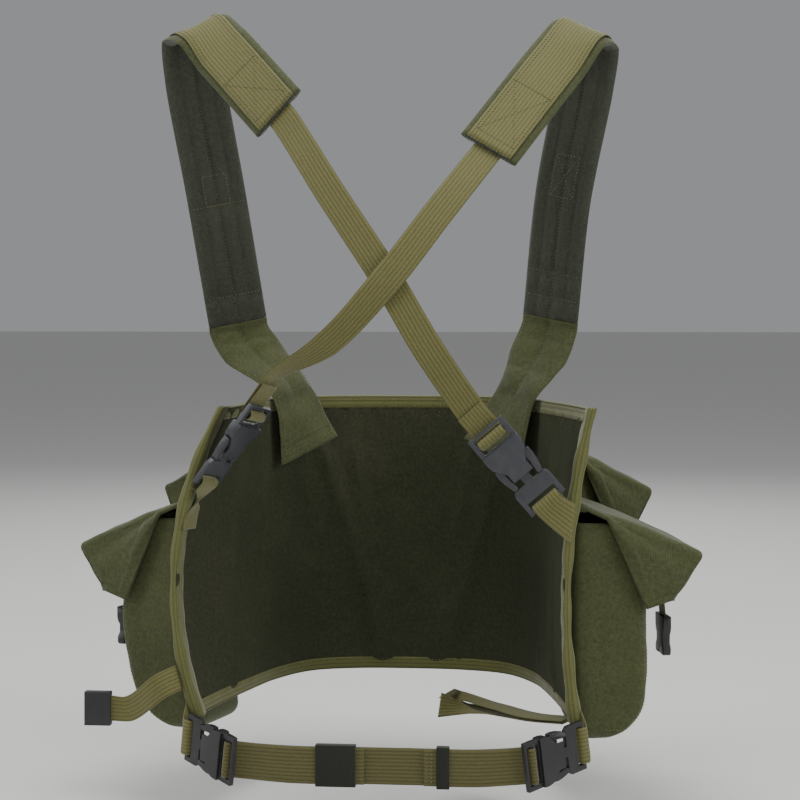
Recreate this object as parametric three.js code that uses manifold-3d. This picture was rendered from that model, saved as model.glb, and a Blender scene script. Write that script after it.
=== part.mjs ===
// Load-carrying chest harness: a U-shaped chest panel with pouches, two padded shoulder straps that cross at
// the back, and a waist belt. Millimetres, +Z up. The wearer faces +Y, so the open back is towards -Y.
// The origin is the middle point between the two shoulder pads' tops, where the harness hangs on the wearer.
import * as THREE from "three";
import { mergeVertices } from "three/addons/utils/BufferGeometryUtils.js";
import Module from "manifold-3d";

const wasm = await Module();
wasm.setup();

// Driving dimensions
const PANEL_TOP = -388; // height of the panel's top edge below the shoulders
const PANEL_HEIGHT = 300;
const PANEL_THICK = 4;
const REAR_HALF = 190; // half the width between the two rear edges
const REAR_Y = -125; // the rear edges
const FRONT_Y = 131; // the panel's front, at its middle
const TAPE_THICK = 1.2;
const TAPE_WIDE = 12;
const GAP = 0.3; // clearance between pieces that lie on each other
const PAD_WIDE = 64;
const PAD_THICK = 9;
const PAD_WEB_WIDE = 50;
const WEB_THICK = 1.6;
const TAIL_WIDE = 30; // shoulder webbing
const BELT_WIDE = 35; // waist webbing
const STRAP_THICK = 4; // lower shoulder straps
const POUCH_WALL = 2.4;

const PANEL_BOTTOM = PANEL_TOP - PANEL_HEIGHT;
const vec = (x, y, z) => new THREE.Vector3(x, y, z);
const UP = vec(0, 0, 1);

const root = new THREE.Group();

const CLOTH = { color: 0x4b4a31, roughness: 0.9 };
const WEBBING = { color: 0x4d4a2e, roughness: 0.85 };
const LINING = { color: 0x34362f, roughness: 0.9 };
const ELASTIC = { color: 0x1c1d18, roughness: 0.9 };
const NYLON = { color: 0x26272a, roughness: 0.45 };

function add(name, geometry, look) {
  const mesh = new THREE.Mesh(geometry, new THREE.MeshStandardMaterial(look));
  mesh.name = name;
  root.add(mesh);
}

// three.js geometry to a manifold-3d solid
function toSolid(geometry) {
  const plain = geometry.clone();
  plain.deleteAttribute("normal");
  plain.deleteAttribute("uv");
  const merged = mergeVertices(plain, 1e-3);
  const mesh = new wasm.Mesh({
    numProp: 3,
    vertProperties: merged.attributes.position.array,
    triVerts: new Uint32Array(merged.index.array),
  });
  return new wasm.Manifold(mesh);
}

// manifold-3d solid to three.js geometry
function toGeometry(solid) {
  const mesh = solid.getMesh();
  const count = mesh.vertProperties.length / mesh.numProp;
  const position = new Float32Array(count * 3);
  for (let i = 0; i < count; i++) {
    const start = i * mesh.numProp;
    position.set(mesh.vertProperties.subarray(start, start + 3), i * 3);
  }
  const geometry = new THREE.BufferGeometry();
  geometry.setAttribute("position", new THREE.BufferAttribute(position, 3));
  geometry.setIndex(new THREE.BufferAttribute(mesh.triVerts, 1));
  geometry.computeVertexNormals();
  return geometry;
}

// Values from first to last with every whole multiple of step between them
function stations(first, last, step) {
  const values = [first];
  for (let k = Math.floor(first / step) + 1; k * step < last - step / 20; k++) {
    if (k * step > first + step / 20) values.push(k * step);
  }
  values.push(last);
  return values;
}

const evenly = (count) => Array.from({ length: count + 1 }, (_, i) => i / count);

// Closed slab between two skins at(u, v, side), with side 0 and 1 and u and v from the two lists
function slab(us, vs, at) {
  const points = [];
  const index = [];
  const nu = us.length - 1;
  const nv = vs.length - 1;
  const id = (i, j, side) => side * (nu + 1) * (nv + 1) + i * (nv + 1) + j;
  for (let side = 0; side < 2; side++) {
    for (const u of us) {
      for (const v of vs) points.push(...at(u, v, side).toArray());
    }
  }
  const quad = (a, b, c, d) => index.push(a, b, c, a, c, d);
  for (let i = 0; i < nu; i++) {
    for (let j = 0; j < nv; j++) {
      quad(id(i, j, 1), id(i + 1, j, 1), id(i + 1, j + 1, 1), id(i, j + 1, 1));
      index.push(id(i, j, 0), id(i + 1, j + 1, 0), id(i + 1, j, 0));
      index.push(id(i, j, 0), id(i, j + 1, 0), id(i + 1, j + 1, 0));
    }
    quad(id(i, 0, 0), id(i + 1, 0, 0), id(i + 1, 0, 1), id(i, 0, 1));
    quad(id(i, nv, 0), id(i, nv, 1), id(i + 1, nv, 1), id(i + 1, nv, 0));
  }
  for (let j = 0; j < nv; j++) {
    quad(id(0, j, 0), id(0, j, 1), id(0, j + 1, 1), id(0, j + 1, 0));
    quad(id(nu, j, 0), id(nu, j + 1, 0), id(nu, j + 1, 1), id(nu, j, 1));
  }
  if (signedVolume(points, index) < 0) {
    for (let i = 0; i < index.length; i += 3) {
      [index[i + 1], index[i + 2]] = [index[i + 2], index[i + 1]];
    }
  }
  const geometry = new THREE.BufferGeometry();
  geometry.setAttribute("position", new THREE.Float32BufferAttribute(points, 3));
  geometry.setIndex(index);
  geometry.computeVertexNormals();
  return geometry;
}

function signedVolume(points, index) {
  let sum = 0;
  const corner = (k) => vec(points[3 * k], points[3 * k + 1], points[3 * k + 2]);
  for (let i = 0; i < index.length; i += 3) {
    sum += corner(index[i]).dot(corner(index[i + 1]).cross(corner(index[i + 2])));
  }
  return sum / 6;
}

// Sheet of even thickness on the surface at(u, v), lifted off it along its normal
function sheet(us, vs, at, thick, lift = 0) {
  const step = 1e-3;
  return slab(us, vs, (u, v, side) => {
    const across = at(u + step, v).sub(at(u - step, v));
    const down = at(u, v + step).sub(at(u, v - step));
    const normal = across.cross(down).normalize();
    return at(u, v).addScaledVector(normal, lift + (side - 0.5) * thick);
  });
}

// Surface of a flat strap along a smooth curve through rows of [centre, direction of its width].
// A row with a third value ends the strap at a slant: its width lies exactly along its direction, that much longer.
function strapSurface(rows, wide) {
  const curve = new THREE.CatmullRomCurve3(rows.map((r) => vec(...r[0])), false, "centripetal");
  const last = rows.length - 1;
  const widths = rows.map(([, across, slant], k) => {
    const along = curve.getTangent(k / last);
    const width = vec(...across).normalize();
    if (slant) return width.multiplyScalar(wide * slant);
    return width.addScaledVector(along, -width.dot(along)).normalize().multiplyScalar(wide);
  });
  return (u, v) => {
    const t = THREE.MathUtils.clamp(u, 0, 1);
    const place = curve.getPoint(t).addScaledVector(curve.getTangent(t), (u - t) * 100);
    const k = Math.min(Math.floor(t * last), last - 1);
    return place.addScaledVector(widths[k].clone().lerp(widths[k + 1], t * last - k), v - 0.5);
  };
}

function strap(rows, wide, thick, perRow = 4) {
  return sheet(evenly((rows.length - 1) * perRow), [0, 1], strapSurface(rows, wide), thick);
}

// The chest wall: the panel's middle surface. s is the distance along the U from the front middle,
// positive to +X; z is the height; off is the distance outwards from the surface.
const HALF_PLAN = [
  [0, FRONT_Y],
  [60, FRONT_Y - 4],
  [108, FRONT_Y - 23],
  [140, 60],
  [160, 0],
  [176, -60],
  [REAR_HALF, REAR_Y],
];
const mirroredPlan = HALF_PLAN.slice(1).map(([x, y]) => vec(-x, y, 0)).reverse();
const plan = new THREE.CatmullRomCurve3(
  [...mirroredPlan, ...HALF_PLAN.map(([x, y]) => vec(x, y, 0))], false, "catmullrom");
plan.arcLengthDivisions = 400;
const U_LENGTH = plan.getLength();
const HALF_U = U_LENGTH / 2;
const EDGE = HALF_U - 3; // where the panel's cloth ends

// How far the soft side walls lean towards +X: nothing at the front, most at the rear edges
function lean(s, z) {
  const rear = THREE.MathUtils.smoothstep(Math.abs(s), 150, HALF_U);
  const v = (z - (PANEL_TOP + PANEL_BOTTOM) / 2) / (PANEL_HEIGHT / 2);
  const height = THREE.MathUtils.clamp(v, -1.2, 1.1);
  const left = -22 + 12 * height + 34 * height * height;
  const right = -16 + 8 * height + 15 * height * height;
  return rear * (s < 0 ? left : right);
}

const STEP_S = 12; // the wall is made of flat facets of this size, the same for all that lies on it
const STEP_Z = 25;

function wallNode(s, z, off) {
  const t = THREE.MathUtils.clamp((s + HALF_U) / U_LENGTH, 0, 1);
  const point = plan.getPointAt(t);
  const along = plan.getTangentAt(t);
  point.addScaledVector(along, s + HALF_U - t * U_LENGTH);
  point.addScaledVector(vec(-along.y, along.x, 0), off);
  return vec(point.x + lean(s, z), point.y, z);
}

function wall(s, z, off = 0) {
  const s0 = Math.floor(s / STEP_S) * STEP_S;
  const z0 = Math.floor(z / STEP_Z) * STEP_Z;
  const near = wallNode(s0, z0, off).lerp(wallNode(s0, z0 + STEP_Z, off), (z - z0) / STEP_Z);
  const far = wallNode(s0 + STEP_S, z0, off).lerp(wallNode(s0 + STEP_S, z0 + STEP_Z, off), (z - z0) / STEP_Z);
  return near.lerp(far, (s - s0) / STEP_S);
}

// Block that follows the wall, between two distances s, two heights and two offsets
function wallBlock(s0, s1, z0, z1, off0, off1) {
  return slab(stations(s0, s1, STEP_S), stations(z0, z1, STEP_Z), (s, z, side) => wall(s, z, side ? off1 : off0));
}

// Panel and its four binding tapes, each folded round an edge
const HALF_THICK = PANEL_THICK / 2;
add("chest_panel", wallBlock(-EDGE, EDGE, PANEL_BOTTOM, PANEL_TOP, -HALF_THICK, HALF_THICK), CLOTH);

function foldedTape(s0, s1, z0, z1, pocket) {
  const skin = HALF_THICK + GAP;
  const outside = toSolid(wallBlock(s0, s1, z0, z1, -skin - TAPE_THICK, skin + TAPE_THICK));
  return toGeometry(outside.subtract(toSolid(wallBlock(...pocket, -skin, skin))));
}

const TAPE_OUT = GAP + TAPE_THICK; // how far a tape stands past the cloth's edge
const SIDE_TAPE = EDGE - TAPE_WIDE; // where the rear tapes stop
const TAPE_END = SIDE_TAPE - GAP;
add("binding_top", foldedTape(-TAPE_END, TAPE_END, PANEL_TOP - TAPE_WIDE, PANEL_TOP + TAPE_OUT,
  [-HALF_U, HALF_U, PANEL_TOP - 2 * TAPE_WIDE, PANEL_TOP + GAP]), WEBBING);
add("binding_bottom", foldedTape(-TAPE_END, TAPE_END, PANEL_BOTTOM - TAPE_OUT, PANEL_BOTTOM + TAPE_WIDE,
  [-HALF_U, HALF_U, PANEL_BOTTOM - GAP, PANEL_BOTTOM + 2 * TAPE_WIDE]), WEBBING);
add("binding_rear_right", foldedTape(SIDE_TAPE, EDGE + TAPE_OUT, PANEL_BOTTOM - TAPE_OUT, PANEL_TOP + TAPE_OUT,
  [SIDE_TAPE - 20, EDGE + GAP, PANEL_BOTTOM - 20, PANEL_TOP + 20]), WEBBING);
add("binding_rear_left", foldedTape(-EDGE - TAPE_OUT, -SIDE_TAPE, PANEL_BOTTOM - TAPE_OUT, PANEL_TOP + TAPE_OUT,
  [-EDGE - GAP, 20 - SIDE_TAPE, PANEL_BOTTOM - 20, PANEL_TOP + 20]), WEBBING);

// Shoulder straps. side is -1 for the left one (at -X) and 1 for the right one.
const PAD_ROWS = {
  left: [
    [[-184, 78, -305], [0.94, 0.34, 0]],
    [[-203, 47, -163], [0.94, 0.34, 0.05]],
    [[-219, 20, -50], [0.95, 0.25, 0.1]],
    [[-220, 8, -12], [0.95, 0.15, 0.22]],
    [[-207, -12, 0], [0.9, 0.05, 0.42]],
    [[-180, -36, -26], [0.78, 0, 0.6]],
    [[-113, -88, -97], [0.68, -0.09, 0.73]],
  ],
  right: [
    [[155, 78, -300], [0.9, -0.4, 0]],
    [[168, 47, -175], [0.9, -0.4, -0.05]],
    [[190, 20, -60], [0.92, -0.3, -0.12]],
    [[195, 8, -20], [0.93, -0.18, -0.25]],
    [[188, -12, -8], [0.9, -0.12, -0.4]],
    [[162, -37, -42], [0.86, -0.16, -0.5]],
    [[95, -95, -135], [0.83, -0.19, -0.55]],
  ],
};
const PAD_STEPS = evenly(48);
const END_GAP = 0.007; // 0.7 mm past a pad's end, in the surface's own measure
const pads = {};
for (const [name, rows] of Object.entries(PAD_ROWS)) {
  pads[name] = strapSurface(rows, PAD_WIDE);
  const margin = (1 - PAD_WEB_WIDE / PAD_WIDE) / 2;
  add("shoulder_pad_" + name, sheet(PAD_STEPS, [0, margin, 1 - margin, 1], pads[name], PAD_THICK), LINING);
  const lift = PAD_THICK / 2 + 2 * GAP + WEB_THICK / 2;
  add("pad_webbing_" + name, sheet(PAD_STEPS, [margin, 1 - margin], pads[name], WEB_THICK, lift), WEBBING);
}

// First two rows of a tail, in line with its pad's back end
function tailStart(pad) {
  const across = pad(1, 1).sub(pad(1, 0)).toArray();
  return [1 + END_GAP, 1.1].map((u) => [pad(u, 0.5).toArray(), across]);
}

// Lower shoulder straps: rows of [left edge, right edge] from the pad down over the panel's top edge,
// ending in a hemmed tab inside the panel
const LOWER = {
  left: [
    [[-194, 58, -348], [-136, 94, -332]],
    [[-143, 38, -379], [-112, 88, -364]],
    [[-134, 38, -402], [-98, 92, -390]],
    [[-131, 46, -458], [-76, 94, -430]],
  ],
  right: [
    [[112, 92, -336], [172, 56, -348]],
    [[104, 88, -364], [145, 38, -379]],
    [[90, 92, -390], [134, 38, -402]],
    [[62, 96, -432], [126, 46, -462]],
  ],
};
for (const [name, rows] of Object.entries(LOWER)) {
  const edge = (k) => {
    const start = [-END_GAP, -0.1].map((u) => pads[name](u, k));
    return new THREE.CatmullRomCurve3([...start, ...rows.map((r) => vec(...r[k]))], false, "centripetal");
  };
  const [left, right] = [edge(0), edge(1)];
  const surface = (u, v) => {
    const t = THREE.MathUtils.clamp(u, 0, 1);
    const [a, b] = [left, right].map((c) => c.getPoint(t).addScaledVector(c.getTangent(t), (u - t) * 80));
    return a.lerp(b, v);
  };
  add("lower_strap_" + name, sheet(evenly(16), evenly(2), surface, STRAP_THICK), CLOTH);
}

// Side-release buckles. Local frame: x across the webbing, y from the plug to the socket, z out of the face.
const BAR_THICK = 5;
const LOOP_R = 4.65; // webbing's middle round a bar
const PLUG_BAR = -41.5; // local y of the bar that holds the sewn loop

function outline(points, depth) {
  const shape = new THREE.Shape(points.map(([x, y]) => new THREE.Vector2(x, y)));
  const geometry = new THREE.ExtrudeGeometry(shape, { depth, bevelEnabled: false, curveSegments: 8 });
  return toSolid(geometry.translate(0, 0, -depth / 2));
}

function block(x0, x1, y0, y1, depth) {
  return outline([[x0, y0], [x1, y0], [x1, y1], [x0, y1]], depth);
}

function socketSolid(web) {
  const half = web / 2 + 6;
  const tongue = half * 0.55;
  const slot = web / 2 + 1;
  const body = outline([
    [-tongue, -8], [tongue, -8], [tongue, 2], [half - 1, 14], [half, 20], [half, 28],
    [-half, 28], [-half, 20], [1 - half, 14], [-tongue, 2],
  ], 11);
  const ladder = block(-half, half, 27, 50, BAR_THICK)
    .subtract(block(-slot, slot, 30, 36.5, 20))
    .subtract(block(-slot, slot, 41.5, 47, 20));
  return body.add(ladder).subtract(block(3 - half, half - 3, -20, 24, 6.8));
}

function plugSolid(web) {
  const half = web / 2 + 6;
  const slot = web / 2 + 1;
  const base = outline([
    [-half, -44], [half, -44], [half, -20], [half - 3, -15.6], [3 - half, -15.6], [-half, -20],
  ], BAR_THICK).subtract(block(-slot, slot, -39, -32, 20));
  return base.add(block(-5, 5, -16.5, 18, BAR_THICK));
}

// A latch arm's root is round about its hinge, so it clears the plug as it bends in
const ARM_ROOT_Y = -12.6;
function armSolid(web, side) {
  const half = web / 2 + 6;
  const root = half - 6;
  const points = [];
  for (let k = 0; k <= 8; k++) {
    const angle = Math.PI * (1 + k / 8);
    points.push([root + 2.7 * Math.cos(angle), ARM_ROOT_Y + 2.7 * Math.sin(angle)]);
  }
  points.push([half - 1, -4], [half, 4], [half - 0.5, 10.5], [half - 3.9, 10.8], [half - 4.2, 20]);
  points.push([half - 7, 21], [half - 8.5, 12], [half - 7.5, 0]);
  const placed = side > 0 ? points : points.map(([x, y]) => [-x, y]).reverse();
  return outline(placed, 6);
}

// Frame with its y axis along `along`, its z axis as near as can be to `out`, and lengths along y times stretch
function frameOf(origin, along, out, stretch) {
  const y = vec(...along).normalize();
  const z = vec(...out);
  z.addScaledVector(y, -z.dot(y)).normalize();
  const x = y.clone().cross(z);
  return new THREE.Matrix4().makeBasis(x, y.multiplyScalar(stretch), z).setPosition(...origin);
}

function addBuckle(name, web, frame) {
  const place = (solid) => toGeometry(solid).applyMatrix4(frame);
  add(name + "_socket", place(socketSolid(web)), NYLON);
  add(name + "_plug", place(plugSolid(web)), NYLON);
  add(name + "_latch_a", place(armSolid(web, 1)), NYLON);
  add(name + "_latch_b", place(armSolid(web, -1)), NYLON);
}

// Rows for a strap from local [y, z] pairs of a buckle's frame; a third number is the row's slant
function localRows(frame, pairs, sign = 1) {
  const across = vec(sign, 0, 0).transformDirection(frame).toArray();
  return pairs.map(([y, z, slant]) => [vec(0, y, z).applyMatrix4(frame).toArray(), across, slant]);
}

// From behind the ladder, up through its first slot, round the bar, and back out behind: [y, z] pairs
const LADDER_TURN = [
  [66, -8], [52, -7.7], [42, -7.2], [36.5, -6.2], [34.1, -3.2], [34.3, 0.4], [36, 3.6], [39, LOOP_R],
  [42, 3.6], [43.7, 0.6], [44.3, -2.2], [46, -4.9], [50, -5.3], [60, -5.3], [72, -5.3],
];

const BUCKLES = {
  shoulder_right: {
    web: TAIL_WIDE, stretch: 1,
    origin: [125.5, -132.5, -443.8], along: [-0.654, -0.05, 0.754], out: [-0.1, -0.98, 0],
  },
  shoulder_left: {
    web: TAIL_WIDE, stretch: 1,
    origin: [-153.5, -131.5, -425.8], along: [0.596, -0.067, 0.8], out: [0.745, -0.36, -0.555],
  },
  waist_right: {
    web: BELT_WIDE, stretch: 0.8,
    origin: [161.5, -152, -713], along: [-0.7, -0.66, -0.15], out: [0.66, -0.7, 0],
  },
  waist_left: {
    web: BELT_WIDE, stretch: 0.8,
    origin: [-171, -152, -713], along: [0.7, -0.66, -0.15], out: [-0.66, -0.7, 0],
  },
};
const frames = {};
for (const [name, b] of Object.entries(BUCKLES)) {
  frames[name] = frameOf(b.origin, b.along, b.out, b.stretch);
  addBuckle("buckle_" + name, b.web, frames[name]);
}

// Webbing tails that cross behind the back; each is threaded round its buckle's ladder bar
add("back_tail_left", strap([
  ...tailStart(pads.left),
  [[-60, -122, -174], [0.75, -0.05, 0.65]],
  [[0, -142, -263], [0.84, 0, 0.545]],
  [[40, -144, -330], [0.76, 0.05, 0.654]],
  ...localRows(frames.shoulder_right, LADDER_TURN),
], TAIL_WIDE, WEB_THICK), WEBBING);
add("back_tail_right", strap([
  ...tailStart(pads.right),
  [[50, -130, -196], [0.8, -0.1, -0.6]],
  [[0, -149, -263], [0.76, 0, -0.64]],
  [[-58, -148, -325], [0.6, 0.5, -0.5]],
  ...localRows(frames.shoulder_left, [[80, -8.4], ...LADDER_TURN]),
], TAIL_WIDE, WEB_THICK), WEBBING);


// Sewn loops that hold the plugs: out from the harness, round the plug's bar and back
const LOOP_TURN = [
  [-48, 4.2], [PLUG_BAR, LOOP_R], [PLUG_BAR + 3.3, 3.3], [PLUG_BAR + LOOP_R, 0], [PLUG_BAR + 3.3, -3.3],
  [PLUG_BAR, -LOOP_R], [-48, -4.2], [-54, -2.6],
];
const TAPE_SKIN = HALF_THICK + GAP + TAPE_THICK; // outside of the tapes, from the panel's middle
const SEWN_OFF = TAPE_SKIN + 5 * GAP + WEB_THICK / 2;
function sewnLoop(name, buckle, start, turn = LOOP_TURN) {
  add(name, strap([...start, ...localRows(frames[buckle], turn)], BUCKLES[buckle].web, WEB_THICK), WEBBING);
}
// The waist loops come in on a slant, so their rows stay square to the bar and the sewn end is short
const WAIST_TURN = [[-48, 4.2, 1], ...LOOP_TURN.slice(1, -2), [-44.6, -4.6]];
const upEdge = (s, z) => wall(s, z + 1).sub(wall(s, z)).toArray();
const onward = (s, z) => wall(s + 1, z).sub(wall(s, z)).toArray();
const REAR_END = EDGE + TAPE_OUT + 4 * GAP;
sewnLoop("loop_shoulder_right", "shoulder_right", [
  [wall(REAR_END, -497).toArray(), upEdge(REAR_END, -497), 1.3],
]);
sewnLoop("loop_shoulder_left", "shoulder_left", [
  [wall(13 - EDGE, -508, -SEWN_OFF).toArray(), onward(13 - EDGE, -508).map((c) => -c)],
  [wall(13 - EDGE, -490, -SEWN_OFF).toArray(), onward(13 - EDGE, -490).map((c) => -c)],
]);
for (const [side, name] of [[1, "right"], [-1, "left"]]) {
  const rows = [EDGE - 11, EDGE - 3].map((s) => [
    wall(side * s, -690, SEWN_OFF - GAP).toArray(), upEdge(side * s, -690).map((c) => side * c), 1,
  ]);
  sewnLoop("loop_waist_" + name, "waist_" + name, rows, WAIST_TURN);
}

// Waist belt: one webbing, threaded round the ladder bars of both waist buckles
const BELT_Y = -178; // the belt's straight middle
const BELT_Z = -720;
const BELT_STRAIGHT = 88; // half the length of its straight part
const upright = [0, 0, 1];
const LAYER = WEB_THICK + 3 * GAP; // from one layer's middle to the next
const turn = (name, sign) => localRows(frames["waist_" + name], LADDER_TURN.slice(2, 12), sign);
add("belt_webbing", strap([
  [[-18, BELT_Y - LAYER, BELT_Z], upright],
  [[-BELT_STRAIGHT, BELT_Y - LAYER, BELT_Z], upright],
  ...turn("left", -1).reverse(),
  [[-BELT_STRAIGHT, BELT_Y, BELT_Z], upright],
  [[-30, BELT_Y, BELT_Z], upright],
  [[30, BELT_Y, BELT_Z], upright],
  [[BELT_STRAIGHT, BELT_Y, BELT_Z], upright],
  ...turn("right", 1),
  [[BELT_STRAIGHT, BELT_Y - LAYER, BELT_Z], upright],
  [[38, BELT_Y - LAYER, BELT_Z], upright],
], BELT_WIDE, WEB_THICK), WEBBING);

// Elastic keepers: closed bands round the belt, free to slide along its straight part
function keeper(x, y0, y1, wide) {
  const half = BELT_WIDE / 2 + GAP * 2;
  const thick = 1.4;
  const band = (grow, w) =>
    new THREE.BoxGeometry(w, y1 - y0 + 2 * grow, 2 * (half + grow)).translate(x, (y0 + y1) / 2, BELT_Z);
  return toGeometry(toSolid(band(thick, wide)).subtract(toSolid(band(0, wide + 2))));
}
const HALF_WEB = WEB_THICK / 2;
const KEPT = [BELT_Y - LAYER - HALF_WEB - 3 * GAP, BELT_Y + HALF_WEB + 3 * GAP];
add("keeper_left", keeper(-45, ...KEPT, 38), ELASTIC);
add("keeper_right", keeper(56, ...KEPT, 12), ELASTIC);

// Pouches: straight-sided, each in a frame whose x axis points out from the wall, y up and z along the wall.
// The frame's origin is on the wall's middle surface at the flap's hinge height.
function pouchFrame(s0, s1, z) {
  const [a, b] = [wall(s0, z), wall(s1, z)];
  const along = b.clone().sub(a).normalize();
  const out = UP.clone().cross(along);
  const frame = new THREE.Matrix4().makeBasis(out, UP, along).setPosition(a.add(b).multiplyScalar(0.5));
  return { frame, s0, s1, z };
}

// How far the wall's outside, `off` from its middle surface, reaches out in a pouch's frame at a height
function reachOut({ frame, s0, s1 }, z, off) {
  const toLocal = frame.clone().invert();
  const places = stations(s0 - STEP_S, s1 + STEP_S, STEP_S / 2);
  return Math.max(...places.map((s) => wall(s, z, off).applyMatrix4(toLocal).x));
}

// Open-topped body: its back follows the wall down from zTop to zBottom, and depth(v) is its depth at
// v from 0 at the top to 1 at the bottom
function pouchBody(at, zTop, zBottom, wide, depth, off) {
  const rows = stations(zBottom, zTop, STEP_Z);
  const back = (z) => Math.max(...[-8, 0, 8].map((d) => reachOut(at, z + d, off)));
  const front = (z) => back(z) + depth((zTop - z) / (zTop - zBottom));
  const ring = (list, inset) => [
    ...list.map((z) => [back(z) + inset, z - at.z]),
    ...list.slice().reverse().map((z) => [front(z) - inset, z - at.z]),
  ];
  const inner = stations(zBottom + POUCH_WALL, zTop, STEP_Z);
  const cavity = ring(inner, POUCH_WALL);
  const top = inner.length - 1;
  cavity.splice(top + 1, 0, [cavity[top][0], zTop - at.z + 5], [cavity[top + 1][0], zTop - at.z + 5]);
  return outline(ring(rows, 0), wide).subtract(outline(cavity, wide - 2 * POUCH_WALL));
}

// Hood flap: a lid plate from the hinge to its tip, a lip down from the tip, and a gusset at each end.
// shape holds tip, lip and the gusset's free edge as [out, up] pairs from the hinge.
const FLAP_THICK = 2.4;
function flapSolid({ tip, lip, gusset }, wide) {
  const direction = (from, to) => vec(to[0] - from[0], to[1] - from[1], 0).normalize();
  const lid = direction([0, 0], tip);
  const down = direction(tip, lip);
  const bisector = lid.clone().negate().add(down).normalize();
  const inset = FLAP_THICK / Math.abs(bisector.clone().cross(down).z);
  const innerTip = [tip[0] + bisector.x * inset, tip[1] + bisector.y * inset];
  const run = (p, d, k) => [p[0] + d.x * k, p[1] + d.y * k];
  const hollow = [run(innerTip, lid, -2 * tip[0]), innerTip, run(innerTip, down, 200), [-2 * tip[0], -300]];
  const full = outline([[0, 0], [0, -FLAP_THICK], ...gusset, lip, tip], wide);
  return full.subtract(outline(hollow, wide - 2 * FLAP_THICK));
}

const HOOD = { tip: [129, -53], lip: [99, -97], gusset: [[33, -17], [72, -106]] };
const CORNER_HOOD = { tip: [112, -50], lip: [90, -92], gusset: [[28, -15], [66, -98]] };
const FRONT_LID = { tip: [50, -5], lip: [50, -84], gusset: [[6, -34], [46, -40], [47.6, -84]] };
const POUCHES = {
  side: {
    s0: EDGE - 131, s1: EDGE - 17, hinge: -478, top: -516, bottom: -712, wide: 100, hood: HOOD, off: TAPE_SKIN,
    depth: (v) => 66 + 12 * Math.sin(Math.PI * Math.min(v, 1)) - 24 * Math.max(0, (v - 0.8) / 0.2) ** 2,
  },
  corner: {
    s0: 134, s1: 222, hinge: -432, top: -466, bottom: -676, wide: 74, hood: CORNER_HOOD, off: HALF_THICK,
    depth: (v) => 56 + 8 * Math.sin(Math.PI * Math.min(v, 1)) - 16 * Math.max(0, (v - 0.8) / 0.2) ** 2,
  },
  front: {
    s0: -34, s1: 34, hinge: -404, top: -414, bottom: -672, wide: 66, hood: FRONT_LID, off: HALF_THICK,
    depth: () => 40,
  },
  front_outer: {
    s0: 42, s1: 106, hinge: -404, top: -414, bottom: -672, wide: 60, hood: FRONT_LID, off: HALF_THICK,
    depth: () => 38,
  },
};

const FLAP_CLEAR = 0.8; // between a flap's gusset and the side of its pouch
const CLOSURE_WEB = 25;
const CLOSURE_HANG = 62; // how far the closing strap hangs below the lip
const CLOSURE_BUCKLE = { wide: 34, tall: 40, thick: 9 };

// Closing strap with its buckle end: sewn to the outside of a flap's lip and hanging below it
function closureSolid({ tip, lip }) {
  const start = [tip[0] + (lip[0] - tip[0]) * 0.35, tip[1] + (lip[1] - tip[1]) * 0.35];
  const end = [lip[0] + 1, lip[1] - CLOSURE_HANG];
  const near = 2 * GAP;
  const far = near + 2;
  const webbing = outline([
    [start[0] + near, start[1]], [lip[0] + near, lip[1]], [end[0] + near, end[1]],
    [end[0] + far, end[1]], [lip[0] + far, lip[1]], [start[0] + far, start[1]],
  ], CLOSURE_WEB);
  const { wide, tall, thick } = CLOSURE_BUCKLE;
  const [x0, x1] = [end[0] + near - 3, end[0] + near - 3 + thick];
  return webbing.add(outline([[x0, end[1]], [x1, end[1]], [x1, end[1] + tall], [x0, end[1] + tall]], wide));
}

function addPouch(name, p, side) {
  const [s0, s1] = side > 0 ? [p.s0, p.s1] : [-p.s1, -p.s0];
  const at = pouchFrame(s0, s1, p.hinge);
  const body = pouchBody(at, p.top, p.bottom, p.wide, p.depth, p.off + 2 * GAP);
  add("pouch_" + name, toGeometry(body).applyMatrix4(at.frame), CLOTH);
  const hinge = Math.max(...[0, -4].map((d) => reachOut(at, p.hinge + d, HALF_THICK + GAP)));
  const place = (solid) => toGeometry(solid).translate(hinge, 0, 0).applyMatrix4(at.frame);
  add("flap_" + name, place(flapSolid(p.hood, p.wide + 2 * (FLAP_THICK + FLAP_CLEAR))), CLOTH);
  add("closure_" + name, place(closureSolid(p.hood)), NYLON);
}
addPouch("side_right", POUCHES.side, 1);
addPouch("side_left", POUCHES.side, -1);
addPouch("corner_right", POUCHES.corner, 1);
addPouch("corner_left", POUCHES.corner, -1);
addPouch("front_middle", POUCHES.front, 1);
addPouch("front_right", POUCHES.front_outer, 1);
addPouch("front_left", POUCHES.front_outer, -1);


// Loose ends: the belt webbing's spare tail inside on the right, and a clipped side strap outside on the left
const LOOSE_WIDE = 25;
add("spare_tail_right", strap([
  [wall(EDGE - 28, PANEL_BOTTOM - TAPE_OUT - 3 * GAP - HALF_WEB, -3).toArray(), [0.15, 1, 0]],
  [[140, -78, -692.5], [0.4, 1, 0]],
  [[92, -22, -694], [0.5, 1, 0]],
  [[66, -6, -690], [0.6, 1, 0]],
  [[50, -22, -684], [1, 0.4, 0]],
], LOOSE_WIDE, WEB_THICK), WEBBING);

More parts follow.
